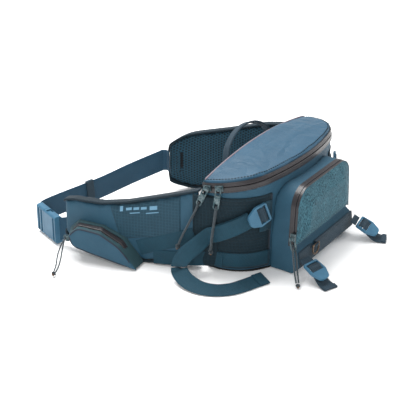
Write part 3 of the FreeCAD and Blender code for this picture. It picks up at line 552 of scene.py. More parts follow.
def settle(piece):
    """Bakes the piece's modifiers into its mesh."""
    bpy.context.view_layer.update()
    graph = bpy.context.evaluated_depsgraph_get()
    baked = bpy.data.meshes.new_from_object(piece.evaluated_get(graph))
    piece.modifiers.clear()
    piece.data = baked
    return piece


def map_flat(piece):
    mesh = piece.data
    normals = np.empty(len(mesh.polygons) * 3)
    mesh.polygons.foreach_get("normal", normals)
    normals = np.abs(normals.reshape(-1, 3))
    totals = np.empty(len(mesh.polygons), int)
    mesh.polygons.foreach_get("loop_total", totals)
    axis = np.repeat(normals.argmax(axis=1), totals)
    corner = np.empty(len(mesh.loops), int)
    mesh.loops.foreach_get("vertex_index", corner)
    place = np.empty(len(mesh.vertices) * 3)
    mesh.vertices.foreach_get("co", place)
    place = place.reshape(-1, 3)[corner]
    across = np.where(axis == 0, place[:, 1], place[:, 0])
    up = np.where(axis == 2, place[:, 1], place[:, 2])
    layer = mesh.uv_layers[0] if mesh.uv_layers else mesh.uv_layers.new(name="flat")
    layer.data.foreach_set("uv", np.stack([across, up], axis=1).ravel())
    mesh.polygons.foreach_set("use_smooth", np.ones(len(mesh.polygons), bool))
    mesh.set_sharp_from_angle(angle=math.radians(60))


print("shape helpers ready")

# %% Soft copies and wrinkles
def points_and_normals(mesh):
    places = np.empty(len(mesh.vertices) * 3)
    mesh.vertices.foreach_get("co", places)
    normals = np.empty(len(mesh.vertices) * 3)
    mesh.vertices.foreach_get("normal", normals)
    return places.reshape(-1, 3), normals.reshape(-1, 3)


def move_points(mesh, places):
    mesh.vertices.foreach_set("co", places.ravel())
    mesh.update()


def wrinkle(piece, depth, size, stretch=(1, 1, 1), seed=0.0):
    """Pushes points in along their normals by smooth noise."""
    places, normals = points_and_normals(piece.data)
    scaled = places / size * np.array(stretch) + np.array((seed, 0, 0))
    push = np.empty(len(places))
    for i, where in enumerate(scaled):
        spot = Vector(where)
        push[i] = noise.noise(spot) + 0.5 * noise.noise(spot * 2.1)
    move_points(piece.data, places - normals * np.abs(push)[:, None] * depth)


def soft_copy(name, nodes, voxel, rounds, finish, depth=0.0, size=0.04, stretch=(1, 1, 1)):
    points, faces = node_shape(*nodes)
    piece = mesh_piece(name, points, faces, finish)
    knit = piece.modifiers.new("knit", "REMESH")
    knit.mode = "VOXEL"
    knit.voxel_size = voxel
    relax = piece.modifiers.new("relax", "SMOOTH")
    relax.iterations = rounds
    relax.factor = 0.5
    settle(piece)
    if depth:
        wrinkle(piece, depth, size, stretch)
    map_flat(piece)
    return piece


PRESSURE = 4.0
SWELL_FRAMES = 20


def puff(piece, cap):
    """Swells a closed pad with a short cloth run, and lets no point move further than cap."""
    before = [p.co.copy() for p in piece.data.vertices]
    swell = piece.modifiers.new("swell", "CLOTH")
    swell.settings.use_pressure = True
    swell.settings.uniform_pressure_force = PRESSURE
    swell.settings.effector_weights.gravity = 0
    swell.settings.quality = 6
    for step in range(1, SWELL_FRAMES + 1):
        bpy.context.scene.frame_set(step)
    settle(piece)
    bpy.context.scene.frame_set(1)
    moved = [p.co.copy() for p in piece.data.vertices]
    for point, old, new in zip(piece.data.vertices, before, moved):
        shift = new - old
        if shift.length > cap:
            shift *= cap / shift.length
        point.co = old + shift
    finer = piece.modifiers.new("finer", "SUBSURF")
    finer.levels = 1
    finer.render_levels = 1
    settle(piece)
    map_flat(piece)
    return piece


print("soft copies ready")

# %% Wraps
def skin_tree(*names):
    """Surface of CAD nodes, for rays."""
    return BVHTree.FromPolygons(*node_shape(*names))


def piece_tree(piece):
    """Surface of a finished piece, for rays."""
    return BVHTree.FromPolygons([p.co.copy() for p in piece.data.vertices],
                                [tuple(f.vertices) for f in piece.data.polygons])


def even(points, count):
    """The same line, cut into count even steps."""
    runs = [0.0]
    for a, b in zip(points, points[1:]):
        runs.append(runs[-1] + (b - a).length)
    made = []
    k = 0
    for i in range(count + 1):
        want = runs[-1] * i / count
        while k < len(runs) - 2 and runs[k + 1] < want:
            k += 1
        span = runs[k + 1] - runs[k]
        made.append(points[k].lerp(points[k + 1], (want - runs[k]) / span if span else 0.0))
    return made


def thicken(piece, thick, offset=0):
    """Makes a single layer thick: to both sides at offset 0, inwards at offset -1."""
    layer = piece.modifiers.new("layer", "SOLIDIFY")
    layer.thickness = thick
    layer.offset = offset
    return settle(piece)


def wrap(name, tree, rows, columns, thick, finish):
    """Cloth laid on a surface. Each row is a list of (origin, direction) rays."""
    lines = []
    for rays in rows:
        hits = []
        for origin, direction in rays:
            hit = tree.ray_cast(origin, direction)
            if hit[0] is not None:
                hits.append(hit[0])
        if len(hits) > 2:
            lines.append(even(hits, columns))
    points = [p for line in lines for p in line]
    flat = []
    for i, line in enumerate(lines):
        run = 0.0
        rise = sum((lines[j][0] - lines[j - 1][0]).length for j in range(1, i + 1))
        for k in range(columns + 1):
            if k:
                run += (line[k] - line[k - 1]).length
            flat.append((rise, run))
    piece = mesh_piece(name, points, grid_faces(len(lines) - 1, columns), finish, flat)
    outward = sum((f.normal.dot(rows[0][0][1]) for f in piece.data.polygons), 0.0)
    if outward > 0:
        piece.data.flip_normals()
    return thicken(piece, thick, -1)


print("soft helpers ready")

# %% [markdown]
# ## Cords first
# Four thin braided cords hang from the zip pulls. Each is one loop: up from a knot, through the
# pull's eye and back into the knot. The route is the control points of a smooth spline, and the
# braid is a tube laid along that spline, so that its strands can be mapped round it. A knot is
# a small trefoil of the same cord with two melted ends.

# %% Cord routes, in metres
CORD_ROUTES = {
    "main_rear": [
        (-0.1716, 0.0287, 0.046), (-0.1694, 0.0254, 0.057), (-0.1654, 0.0184, 0.074),
        (-0.1608, 0.0103, 0.094), (-0.1586, 0.0052, 0.1065), (-0.1576, 0.0022, 0.1156),
        (-0.152, 0.0034, 0.1156), (-0.1532, 0.0064, 0.1065), (-0.1564, 0.0112, 0.094),
        (-0.1613, 0.0192, 0.074), (-0.1659, 0.0262, 0.057), (-0.1684, 0.0293, 0.046)],
    "main_front": [
        (-0.1581, -0.0198, 0.045), (-0.1589, -0.0209, 0.056), (-0.1588, -0.0229, 0.073),
        (-0.1573, -0.025, 0.093), (-0.1562, -0.0261, 0.106), (-0.1548, -0.0267, 0.1153),
        (-0.1492, -0.0253, 0.1153), (-0.1508, -0.0249, 0.106), (-0.1529, -0.024, 0.093),
        (-0.155, -0.0221, 0.073), (-0.1555, -0.0201, 0.056), (-0.1549, -0.0192, 0.045)],
    "pocket": [
        (-0.1154, -0.1424, 0.0074), (-0.1108, -0.1374, 0.0144), (-0.1044, -0.1316, 0.026),
        (-0.098, -0.1262, 0.0395), (-0.0943, -0.1229, 0.0492), (-0.0887, -0.1221, 0.0492),
        (-0.0916, -0.1278, 0.04), (-0.1, -0.1344, 0.0265), (-0.1076, -0.1402, 0.0148),
        (-0.1128, -0.1448, 0.0074)],
    "pouch": [
        (-0.284, 0.1745, 0.0046), (-0.273, 0.178, 0.0052), (-0.257, 0.186, 0.01),
        (-0.243, 0.194, 0.018), (-0.232, 0.199, 0.026), (-0.2265, 0.2004, 0.031),
        (-0.2215, 0.2016, 0.031), (-0.221, 0.206, 0.0255), (-0.231, 0.207, 0.017),
        (-0.248, 0.2, 0.009), (-0.267, 0.1865, 0.005), (-0.2825, 0.1785, 0.0046)],
}
print("cords", list(CORD_ROUTES))

# %% Braided cords and their knots
def spline_line(name, route):
    """Points read from the route's smooth spline."""
    curve = bpy.data.curves.new(name, "CURVE")
    curve.dimensions = "3D"
    curve.resolution_u = 14
    spline = curve.splines.new("NURBS")
    spline.points.add(len(route) - 1)
    for point, place in zip(spline.points, route):
        point.co = (*place, 1.0)
    spline.order_u = 3
    spline.use_endpoint_u = True
    holder = bpy.data.objects.new(name, curve)
    bpy.context.collection.objects.link(holder)
    bpy.context.view_layer.update()
    graph = bpy.context.evaluated_depsgraph_get()
    mesh = bpy.data.meshes.new_from_object(holder.evaluated_get(graph))
    line = [p.co.copy() for p in mesh.vertices]
    bpy.data.objects.remove(holder)
    bpy.data.meshes.remove(mesh)
    return line


KNOT_STEPS = 72


def knot_line(centre, along, radius):
    """A trefoil lying across the way the cord leaves."""
    side = along.orthogonal().normalized()
    other = along.cross(side)
    line = []
    for k in range(KNOT_STEPS):
        t = TWO_PI * k / KNOT_STEPS
        a = (math.sin(t) + 2 * math.sin(2 * t)) / 3
        b = (math.cos(t) - 2 * math.cos(2 * t)) / 3
        c = -math.sin(3 * t) * 0.55
        line.append(centre + (side * a + other * b * 0.8 + along * c) * radius)
    return line


print("cord helpers ready")

# %% The four cords
CORD_SIZES = {              # diameter of the cord, radius of its knot
    "main_rear": (0.0028, 0.0045),
    "main_front": (0.0028, 0.0045),
    "pocket": (0.0028, 0.0042),
    "pouch": (0.0022, 0.0040),
}
for cord_name, route in CORD_ROUTES.items():
    diameter, knot_radius = CORD_SIZES[cord_name]
    line = spline_line(cord_name + "_line", route)
    braid = tube(cord_name + "_braid", line, diameter / 2, cord_braid)
    for loop in braid.data.uv_layers[0].data:
        loop.uv[0] = loop.uv[0] / (math.pi * diameter)
    body = cord_name + "_pull"
    join_body(braid, body, "pull_cord", cord_name + "_cord")
    low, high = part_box(cord_name + "_knot")
    centre = (low + high) / 2
    leave = (line[0] + line[-1]) / 2 - centre
    ahead = leave.normalized()
    beside = leave.orthogonal().normalized()
    bead = tube(cord_name + "_trefoil", knot_line(centre, ahead, knot_radius - diameter * 0.42),
                diameter * 0.44, cord_braid, closed_line=True)
    join_body(bead, body, "pull_cord", cord_name + "_knot")
    ends = []
    for sign in (-1, 1):
        start = centre - ahead * knot_radius * 0.3 + beside * sign * 0.0012
        stop = start - ahead * knot_radius * 0.62
        ends.append(tube("end", [start, start.lerp(stop, 0.6), stop], diameter * 0.4, cut_end))
    tips = merge(cord_name + "_melted_ends", ends)
    join_body(tips, body, "pull_cord")

# %% [markdown]
# ## Compartment, base and lid
# The body is padded cloth cut as a D. Its shell is soft copied so that the corners turn round,
# and shallow creases run down it. The lid is one smooth satin panel with a few long soft
# wrinkles pulled from side to side. A thin corded piping closes its back edge, and its pale
# pink colour is a painted highlight along that edge.

# %% Compartment, base and lid
shell = soft_copy("body_panels", ["compartment_shell"], 0.0017, 3, body_cloth, depth=0.0009, size=0.045,
                  stretch=(1, 1, 0.5))
join_body(shell, "pack", "body_fabric", "compartment_shell")
bottom = soft_copy("base_sheet", ["base_panel"], 0.0011, 2, base_cloth)
join_body(bottom, "pack", "base_fabric", "base_panel")
lid = soft_copy("lid_cover", ["lid_panel"], 0.0014, 5, lid_cloth)
wrinkle(lid, 0.0030, 0.060, stretch=(0.45, 1.5, 1), seed=4.0)
wrinkle(lid, 0.0012, 0.022, stretch=(1.2, 0.35, 1), seed=9.0)
map_flat(lid)
join_body(lid, "lid", "lid_fabric", "lid_panel")
print("lid points", len(lid.data.vertices))

# %% [markdown]
# ## The D line and the main zip
# The zip runs round the sides and the front in a plane that rises forwards. Two coated tapes
# meet over a hidden coil. Each tape is a strip with a rolled inner edge, so that the two make
# a groove, and a row of stitches holds its outer edge.

# %% The D line
TOP_HALF_WIDTH = 147.0
TOP_FRONT = -92.0
SIDE_RADIUS = 75.0
SIDE_CENTRE = -8.0
ZIP_HEIGHT = 139.0
ZIP_TILT = math.radians(9.65)
ARC_STEPS = 32


def d_line():
    """Right rear corner, round the front, to the left rear corner, as flat (x, y)."""
    centre = TOP_HALF_WIDTH - SIDE_RADIUS
    reach = TOP_FRONT - SIDE_CENTRE
    big = (centre ** 2 + reach ** 2 - SIDE_RADIUS ** 2) / (-2 * (SIDE_RADIUS + reach))
    made = [(TOP_HALF_WIDTH, 0.0)]
    for k in range(ARC_STEPS + 1):
        share = k / ARC_STEPS
        angle = share * (math.pi / 2 - math.atan2(centre, big + TOP_FRONT - SIDE_CENTRE))
        made.append((centre + SIDE_RADIUS * math.cos(angle), SIDE_CENTRE - SIDE_RADIUS * math.sin(angle)))
    last = made[-1]
    from_middle = math.atan2(last[0], big + TOP_FRONT - last[1])
    for k in range(1, ARC_STEPS):
        angle = from_middle * (1 - 2 * k / ARC_STEPS)
        made.append((big * math.sin(angle), big + TOP_FRONT - big * math.cos(angle)))
    made += [(-x, y) for x, y in made[:ARC_STEPS + 2][::-1]]
    return made


def zip_place(x, y):
    """From the zip's own plane to the pack."""
    return v(x, y * math.cos(ZIP_TILT), ZIP_HEIGHT - y * math.sin(ZIP_TILT))


zip_up = Vector((0, math.sin(ZIP_TILT), math.cos(ZIP_TILT)))
ring = even([zip_place(x, y) for x, y in d_line()], 150)
print("zip length", round(sum((b - a).length for a, b in zip(ring, ring[1:])), 3))

# %% Main zip
def in_mm(pairs):
    return [(a * MM, b * MM) for a, b in pairs]


lower_section = in_mm([(-8.2, -0.6), (-8.2, 0.9), (-7.2, 1.15), (-3.6, 1.2), (-2.6, 1.35), (-1.4, 1.75),
                       (-0.5, 1.6), (0.1, 1.0), (0.15, 0.2), (-1.4, -1.8), (-4, -2)])
upper_section = in_mm([(0.85, 0.2), (0.9, 1.0), (1.5, 1.6), (2.4, 1.75), (3.6, 1.35), (4.6, 1.2), (6.6, 1.1),
                       (7.2, 0.9), (7.2, 0.05), (4, 0.05), (2.0, 0.05)])
ups = [zip_up] * len(ring)
lower_tape = sweep("zip_tape_under", ring, ups, lower_section, tape_cloth)
join_body(lower_tape, "pack", "zip_tape", "zip_tape_lower")
upper_tape = sweep("zip_tape_over", ring, ups, upper_section, tape_cloth)
join_body(upper_tape, "lid", "zip_tape", "zip_tape_upper")
print("zip tapes ready")

# %% Stitches and piping
def stitch_row(name, line, across, height, proud, finish, length=2.6, gap=1.5, radius=0.32):
    """Short thread dashes along a line, standing a little proud of the cloth."""
    total = sum((b - a).length for a, b in zip(line, line[1:]))
    count = max(2, int(total / ((length + gap) * MM)))
    cuts = even(line, count * 4)
    dashes = []
    for k in range(count):
        i = 4 * k
        side = across[min(len(across) - 1, round(i / len(cuts) * len(across)))].normalized()
        along = (cuts[i + 3] - cuts[i]).normalized()
        out = side.cross(along)
        shift = side * height * MM + out * proud * MM
        share = length / (length + gap)
        stop = cuts[i].lerp(cuts[i + 4], share) if i + 4 < len(cuts) else cuts[i + 3]
        middle = cuts[i].lerp(stop, 0.5)
        dashes.append(tube("dash", [cuts[i] + shift - out * 0.3 * MM, middle + shift,
                                    stop + shift - out * 0.3 * MM], radius * MM, finish))
    return merge(name, dashes)


under_stitch = stitch_row("zip_stitches_under", ring, ups, -6.6, 1.2, thread)
join_body(under_stitch, "pack", "zip_tape")
lid_tree = piece_tree(lid)
lid_edge = []
inward_sides = []
for i in range(2, len(ring) - 2):
    along = (ring[i + 1] - ring[i - 1]).normalized()
    inside = along.cross(zip_up)
    inside = inside if inside.dot(Vector((0, -0.03, 0.14)) - ring[i]) > 0 else -inside
    hit = lid_tree.ray_cast(ring[i] + inside * 0.0032 + zip_up * 0.1, -zip_up)
    if hit[0] is not None:
        lid_edge.append(hit[0])
        inward_sides.append(inside)
over_stitch = stitch_row("zip_stitches_over", lid_edge, inward_sides, 0.0, 0.5, thread, length=2.4, gap=2.2,
                         radius=0.7)
join_body(over_stitch, "lid", "lid_fabric")

LID_CROWN = 26
LID_SPHERE = 724.8
BACK_EDGE_HALF = 144.5
hinge_line = []
for k in range(61):
    x = -BACK_EDGE_HALF + 2 * BACK_EDGE_HALF * k / 60
    crown = LID_CROWN - (LID_SPHERE - math.sqrt(LID_SPHERE * LID_SPHERE - x * x))
    hinge_line.append(v(x, -2.0, ZIP_HEIGHT + crown * math.cos(ZIP_TILT) + 0.5))
# the piping's pale colour is a painted highlight along the lid's back edge
piping = tube("lid_back_piping", hinge_line, 0.0014, highlight_piping)
join_body(piping, "lid", "lid_fabric")
print("zip and piping ready")

# %% [markdown]
# ## Back panel, frame sheet and lumbar pads
# The back that rests on the wearer is spacer mesh over foam. The pads are padded pieces, so
# they are swollen by a short cloth run, which pulls their sides in as stuffing does.

# %% Back panel and pads
back_cover = soft_copy("back_cover", ["back_panel"], 0.0013, 3, spacer)
join_body(back_cover, "pack", "spacer_mesh", "back_panel")
pads = soft_copy("lumbar_cushions", ["lumbar_pads"], 0.0045, 2, spacer)
puff(pads, 0.004)
join_body(pads, "pack", "spacer_mesh", "lumbar_pads")
print("pads points", len(pads.data.vertices))

# %% [markdown]
# ## Side panels and their straps
# Each side is faced with dark rip-stop, with a webbing sewn along its foot and a patch at its
# front edge under the ladder-lock. Cloth that lies on a surface is wrapped: rays find the
# surface row by row, so the weave follows the curve of the side.

# %% Side panels and straps
SIDE_RAYS = 192


def side_rows(sign, low, high, count):
    """Rays from outside towards the side's centre line, one row for each height."""
    rows = []
    for i in range(count + 1):
        z = low + (high - low) * i / count
        rays = []
        for k in range(SIDE_RAYS + 1):
            turn = math.radians(-35 + 140 * k / SIDE_RAYS)
            aim = Vector((-math.cos(turn) * sign, -math.sin(turn), 0))
            origin = v(-60 * sign, -20, z) + aim * 0.3
            rays.append((origin, -aim))
        rows.append(rays)
    return rows


SIDE_LAYERS = (             # node, lowest and highest row, rows, columns, thickness, finish, name, slot
    ("side_panels", 6.3, 127.7, 44, 60, 0.0011, ripstop_cloth, "side_ripstop", "ripstop"),
    ("side_straps_lower", 8.8, 33.2, 8, 60, 0.0015, teal_webbing, "foot_webbing", "webbing"),
    ("side_patches_upper", 67.3, 116.7, 16, 14, 0.0015, teal_webbing, "lock_patch", "webbing"),
)
for node, low, high, rows, columns, thick, finish, name, slot in SIDE_LAYERS:
    tree = skin_tree(node)
    for sign, label in ((1, "left"), (-1, "right")):
        layer = wrap(name + "_" + label, tree, side_rows(sign, low, high, rows), columns, thick, finish)
        join_body(layer, "pack", slot, node)
print("side layers", 2 * len(SIDE_LAYERS))

# %% Corded side seams
SEAM_X = 87.6
seams = []
panel_tree = skin_tree("side_panels", "compartment_shell")
for sign in (-1, 1):
    seam = []
    for k in range(41):
        z = 8 + 118 * k / 40
        hit = panel_tree.ray_cast(v(sign * SEAM_X, -200, z), Vector((0, 1, 0)))
        if hit[0] is not None:
            seam.append(hit[0] + Vector((0, -0.0006, 0)))
    seams.append(tube("seam", seam, 0.0013, piping_cord))
side_piping = merge("side_seam_piping", seams)
join_body(side_piping, "pack", "body_fabric")
print("sides ready")

# %% [markdown]
# ## Front pocket
# The pocket is a shallow box sewn to the front. Its face bulges, and it is made of a heathered
# cloth in which pale and dark fibres are spun together. The zip goes round three sides of it
# with the same coated tape as the lid's.

# %% Front pocket
pocket = soft_copy("pocket_walls", ["pocket_shell"], 0.0015, 3, body_cloth, depth=0.0007, size=0.04)
join_body(pocket, "pack", "body_fabric", "pocket_shell")
face = soft_copy("pocket_front", ["pocket_face"], 0.0017, 4, heather_cloth, depth=0.0011, size=0.035,
                 stretch=(1, 1, 0.7))
join_body(face, "pocket_flap", "heather_fabric", "pocket_face")
print("pocket points", len(face.data.vertices))

# %% Pocket zip
def rounded(corners, radii, step=2.0):
    """Open line through flat corners with arcs at the inner ones."""
    made = [Vector(corners[0])]
    for i in range(1, len(corners) - 1):
        a, b, c = (Vector(corners[j]) for j in (i - 1, i, i + 1))
        one = (a - b).normalized()
        two = (c - b).normalized()
        half = one.angle(two) / 2
        cut = radii[i] / math.tan(half)
        start, stop = b + one * cut, b + two * cut
        centre = b + (one + two).normalized() * (radii[i] / math.sin(half))
        sweep_angle = math.pi - 2 * half
        count = max(2, round(radii[i] * sweep_angle / step))
        for k in range(count + 1):
            t = k / count
            arm = (start - centre).slerp(stop - centre, t)
            made.append(centre + arm.normalized() * radii[i])
    made.append(Vector(corners[-1]))
    return made


POCKET_MOUTH = -118.0
pocket_path = rounded([(85, 47), (79, 135), (-79, 135), (-85, 47)], [0, 30, 30, 0])
pocket_ring = even([v(p.x, POCKET_MOUTH, p.y) for p in pocket_path], 120)
forward = Vector((0, -1, 0))
sides = [forward] * len(pocket_ring)
pocket_lower = in_mm([(-7.9, -0.5), (-7.9, 0.8), (-7, 1.1), (-3.2, 1.15), (-1.6, 1.6), (-0.5, 1.5),
                      (-0.1, 0.8), (-0.1, -0.5)])
pocket_upper = in_mm([(0.6, 0.1), (0.65, 0.9), (1.2, 1.5), (2.2, 1.5), (3.3, 1.1), (4.2, 0.9), (4.4, 0.1)])
under = sweep("pocket_tape_under", pocket_ring, sides, pocket_lower, tape_cloth)
join_body(under, "pack", "zip_tape", "pocket_tape_lower")
over = sweep("pocket_tape_over", pocket_ring, sides, pocket_upper, tape_cloth)
join_body(over, "pocket_flap", "zip_tape", "pocket_tape_upper")
print("pocket ready")

# %% [markdown]
# ## Straps on the front and the handle
# These are flat webbings. Each one is swept with a section that has round, slightly thicker
# edges, and its ribs follow its length. The lash tails are folded back at the end and sewn.

# %% Front straps and handle
belly_tree = skin_tree("belly_strap")
belly_rows = []
for i in range(9):
    z = 14.8 + 24.4 * i / 8
    belly_rows.append([(v(-84.5 + 169 * k / 120, -300, z), Vector((0, 1, 0))) for k in range(121)])
belly = wrap("belly_webbing", belly_tree, belly_rows, 100, 0.0016, slate_webbing)
join_body(belly, "pack", "dark_webbing", "belly_strap")
STRAP_WIDTH = 0.025
STRAP_THICK = 0.0016
lash_heads = []
lash_ends = []
for sign in (-1, 1):
    across = Vector((1, sign * 0.1, 0))
    head = v(sign * 78, -133.8, 30)
    foot = v(sign * 80, -142.2, 25.2)
    lash_heads.append(webbing("head", [(head, across), (head.lerp(foot, 0.5), across), (foot, across)],
                              STRAP_WIDTH, STRAP_THICK, slate_webbing))
    start = v(sign * 82.6, -160.5, 14.2)
    touch = v(sign * 86, -173, 3.4)
    end = v(sign * 92, -188, 1.5)
    lash_ends.append(webbing("tail", [(start, across), (touch, across), (end, across)],
                             STRAP_WIDTH, 0.0022, slate_webbing))
    tip = end.lerp(touch, 0.45)
    lash_ends.append(webbing("fold", [(end + Vector((0, 0, 0.0016)), across),
                                      (tip + Vector((0, 0, 0.0018)), across)],
                             STRAP_WIDTH * 0.98, 0.0012, slate_webbing))
join_body(merge("lash_heads", lash_heads), "pack", "dark_webbing", "lash_loops")
join_body(merge("lash_ends", lash_ends), "pack", "dark_webbing", "lash_tails")

handle_stations = []
for i in range(13):
    t = -1 + 2 * i / 12
    lift = (1 - t * t) ** 0.6
    handle_stations.append((v(t * 66, 12.5 + 11.5 * lift, 141 + 39 * lift), Vector((0, 0.8, -0.35))))
handle = webbing("handle_webbing", handle_stations, 0.012, 0.0032, slate_webbing)
join_body(handle, "grab_handle", "dark_webbing", "grab_handle")
print("front straps ready")

# %% [markdown]
# ## Compression straps
# From each ladder-lock a webbing turns round the side to the hip wing, and its loose tail hangs
# out, turns over and lies on the floor. The lengths follow the same stations as the CAD webbing.

# %% Pulled straps
BASE_HALF_WIDTH = 133.0


def side_point(angle, z, out):
    """Point on the side's round corner, at a turn and a height, standing out by so much."""
    half_width = BASE_HALF_WIDTH + (TOP_HALF_WIDTH - BASE_HALF_WIDTH) * z / ZIP_HEIGHT
    reach = SIDE_RADIUS + out
    turn = math.radians(angle)
    return v(-(half_width - SIDE_RADIUS + reach * math.cos(turn)), SIDE_CENTRE - reach * math.sin(turn), z)


STRAP_TURNS = (47, 38, 29, 20, 11, 2)
pulled = []
loose = []
for i, turn in enumerate(STRAP_TURNS):
    share = i / (len(STRAP_TURNS) - 1)
    z = 94 - 31 * share
    pulled.append((side_point(turn, z, 4.4 + 1.2 * share), UP))
    loose.append((side_point(turn, z, 7.4 + 5 * share), UP))


right_pulled = [(mirrored(p), w) for p, w in pulled]
straps = merge("compression_webbing",
               [webbing(label, stations, STRAP_WIDTH, STRAP_THICK, teal_webbing)
                for label, stations in (("left", pulled), ("right", right_pulled))])
join_body(straps, "pack", "webbing", "compression_straps")
print("pulled stations", len(pulled))

# %% Loose tails
LEFT_TAIL = ((-164, 0, 50), (-173, 9, 40), (-182, 15, 29.5), (-191, 14, 19.5), (-198, 2, 12), (-202, -15, 8),
             (-201, -34, 5.5), (-192, -54, 4.4), (-176, -70, 4.2), (-156, -80, 4.2), (-136, -88, 4.2),
             (-122, -94, 4.2))
TAIL_ACROSS = ((0.1, 0.35, 1), (0.2, 0.5, 0.9), (0.3, 0.6, 0.7), (0.6, 0.4, 0.6), (0.85, 0, 0.5),
               (0.92, -0.1, 0.38), (0.95, 0.1, 0.28), (0.8, 0.6, 0.24), (0.6, 0.8, 0.22), (0.4, 0.9, 0.22),
               (0.35, 0.9, 0.22), (0.35, 0.9, 0.22))
left_tail = loose + [(v(*p), Vector(w)) for p, w in zip(LEFT_TAIL, TAIL_ACROSS)]
tails = [webbing("left", left_tail, STRAP_WIDTH, STRAP_THICK, teal_webbing)]
fold = [(v(-138, -87, 5.8), Vector(TAIL_ACROSS[-1])), (v(-122.5, -93.6, 5.8), Vector(TAIL_ACROSS[-1]))]
tails.append(webbing("fold", fold, STRAP_WIDTH * 0.98, 0.0014, teal_webbing))
hanging = [(mirrored(p), w) for p, w in loose[:4]]
tip = hanging[-1][0]
hanging.append((tip + v(6, 14, -26), Vector((0.2, 0.6, 0.8))))
hanging.append((tip + v(8, 18, -52), Vector((0.2, 0.9, 0.3))))
tails.append(webbing("right", hanging, STRAP_WIDTH, STRAP_THICK, teal_webbing))
join_body(merge("compression_tail_webbing", tails), "pack", "webbing", "compression_tails")
print("compression straps ready")

# %% [markdown]
# ## Hip wings
# Each wing is foam between an outer cloth and an inner spacer mesh, closed by a binding. The
# three layers are knitted into one pad and swollen a little. Every face then takes its finish
# from the CAD layer that it is nearest to, so the mesh and the cloth meet under the binding.

# %% Hip wings
def wing(side_name, body):
    nodes = ["wing_%s_%s" % (side_name, layer) for layer in ("mesh", "foam", "fabric")]
    pad = soft_copy("wing_%s_pad" % side_name, nodes, 0.004, 2, body_cloth)
    puff(pad, 0.0016)
    inner = skin_tree(nodes[0])
    outer = skin_tree(nodes[2])
    pad.data.materials.clear()
    pad.data.materials.append(body_cloth)
    pad.data.materials.append(spacer)
    for face_of_pad in pad.data.polygons:
        near_in = inner.find_nearest(face_of_pad.center)[3]
        near_out = outer.find_nearest(face_of_pad.center)[3]
        face_of_pad.material_index = 1 if near_in < near_out else 0
    join_body(pad, body, "body_fabric", *nodes)
    rim = soft_copy("wing_%s_edge" % side_name, ["wing_%s_binding" % side_name], 0.0009, 2, binding_cloth)
    rim_places, rim_normals = points_and_normals(rim.data)
    move_points(rim.data, rim_places + rim_normals * 0.0009)
    join_body(rim, body, "binding", "wing_%s_binding" % side_name)
    return pad


left_pad = wing("left", "wing_left")
right_pad = wing("right", "wing_right")
print("wing points", len(left_pad.data.vertices), len(right_pad.data.vertices))

# %% [markdown]
# Cloth and webbing also cross from the body to each wing, and from the far wing to the belt.
# Each crossing is one piece, laid from the body at one end to the wing at the other.

# %% Cloth and webbing across the joints
def root_cloth(sign, body, wing_x):
    points, flat = [], []
    rows, columns = 26, 12
    for i in range(rows + 1):
        z = 8 + 118 * i / rows
        near = side_point(9, z, 1.7)
        far = v(wing_x, 15, z)
        for k in range(columns + 1):
            t = k / columns
            bulge = math.sin(math.pi * t) * (1.6 + 1.2 * math.sin(z * 0.11))
            place = near.lerp(far, t) + v(-bulge, 0, 0)
            points.append(mirrored(place, sign))
            flat.append(((near - far).length * t, z * MM))
    piece = mesh_piece("wing_root_" + body, points, grid_faces(rows, columns), ripstop_cloth, flat)
    thicken(piece, 0.0012)
    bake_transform(piece)


def root_webbing(sign, body, stations):
    places = [(mirrored(p, sign), UP) for p in stations]
    piece = webbing("root_webbing_" + body, places, 0.0235, STRAP_THICK, teal_webbing)
    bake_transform(piece)


root_cloth(1, "wing_left", -152.4)
root_cloth(-1, "wing_right", -149.6)
foot = [side_point(14, 21, 3.6), side_point(3, 20.5, 4.6)]
root_webbing(1, "wing_left", foot + [v(-152.5, 8, 19.5), v(-161.0, 32, 17), v(-168.5, 54, 15),
                                     v(-174.6, 72, 14)])
root_webbing(-1, "wing_right", foot + [v(-149.8, 10, 19.5), v(-149.6, 32, 18), v(-144.5, 52, 17)])
belt_places = (v(45.2, 196.5, 57), v(49, 203.5, 56.6), v(46.8, 211.5, 55.6))
belt_root = webbing("belt_root", [(p, UP) for p in belt_places], 0.0375, 0.0014, belt_webbing_finish)
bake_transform(belt_root)
print("crossings ready")

# %% Wing straps
STRAP_LIFT = 1.7
left_strap = [(v(x - STRAP_LIFT, y, z), UP) for y, x, z in
              ((12, -150.5, 58), (34, -159.2, 49), (74, -173.2, 34), (94, -180.4, 26))]
right_strap = [(v(x + STRAP_LIFT, y, z), UP) for y, x, z in
               ((20, 148.3, 56), (36, 147, 50), (66, 138.5, 40), (98, 125.5, 26))]
join_body(webbing("wing_left_webbing", left_strap, STRAP_WIDTH, STRAP_THICK, teal_webbing),
          "wing_left", "webbing", "wing_left_strap")
join_body(webbing("wing_right_webbing", right_strap, STRAP_WIDTH, STRAP_THICK, teal_webbing),
          "wing_right", "webbing", "wing_right_strap")
print("wing straps ready")

# %% [markdown]
# The near wing carries an overlay panel and a few printed bars. Both are thin patches that rays
# lay on the pad, so they follow its swelling. The bars could be painted in a finish, but as
# patches they keep a crisp edge.

# %% Overlay and printed bars
WING_INWARD = Vector((0.97, 0.243, 0))
wing_tree = piece_tree(left_pad)


def wing_patch(name, low, high, rows, columns, proud, finish):
    """Cloth between two straight lines on the wing's outer face, each a start and a run as (y, z)."""
    points, flat = [], []
    for i in range(rows + 1):
        for k in range(columns + 1):
            s, t = i / rows, k / columns
            lower, upper = ([start[a] + run[a] * t for a in (0, 1)] for start, run in (low, high))
            y, z = (lower[a] + (upper[a] - lower[a]) * s for a in (0, 1))
            hit = wing_tree.ray_cast(v(-400, y - 50, z), WING_INWARD)[0]
            points.append(points[-1] if hit is None else hit - WING_INWARD * proud * MM)
            flat.append((y * MM, z * MM))
    faces = [(a, d, c, b) for a, b, c, d in grid_faces(rows, columns)]
    return thicken(mesh_piece(name, points, faces, finish, flat), 0.0006)


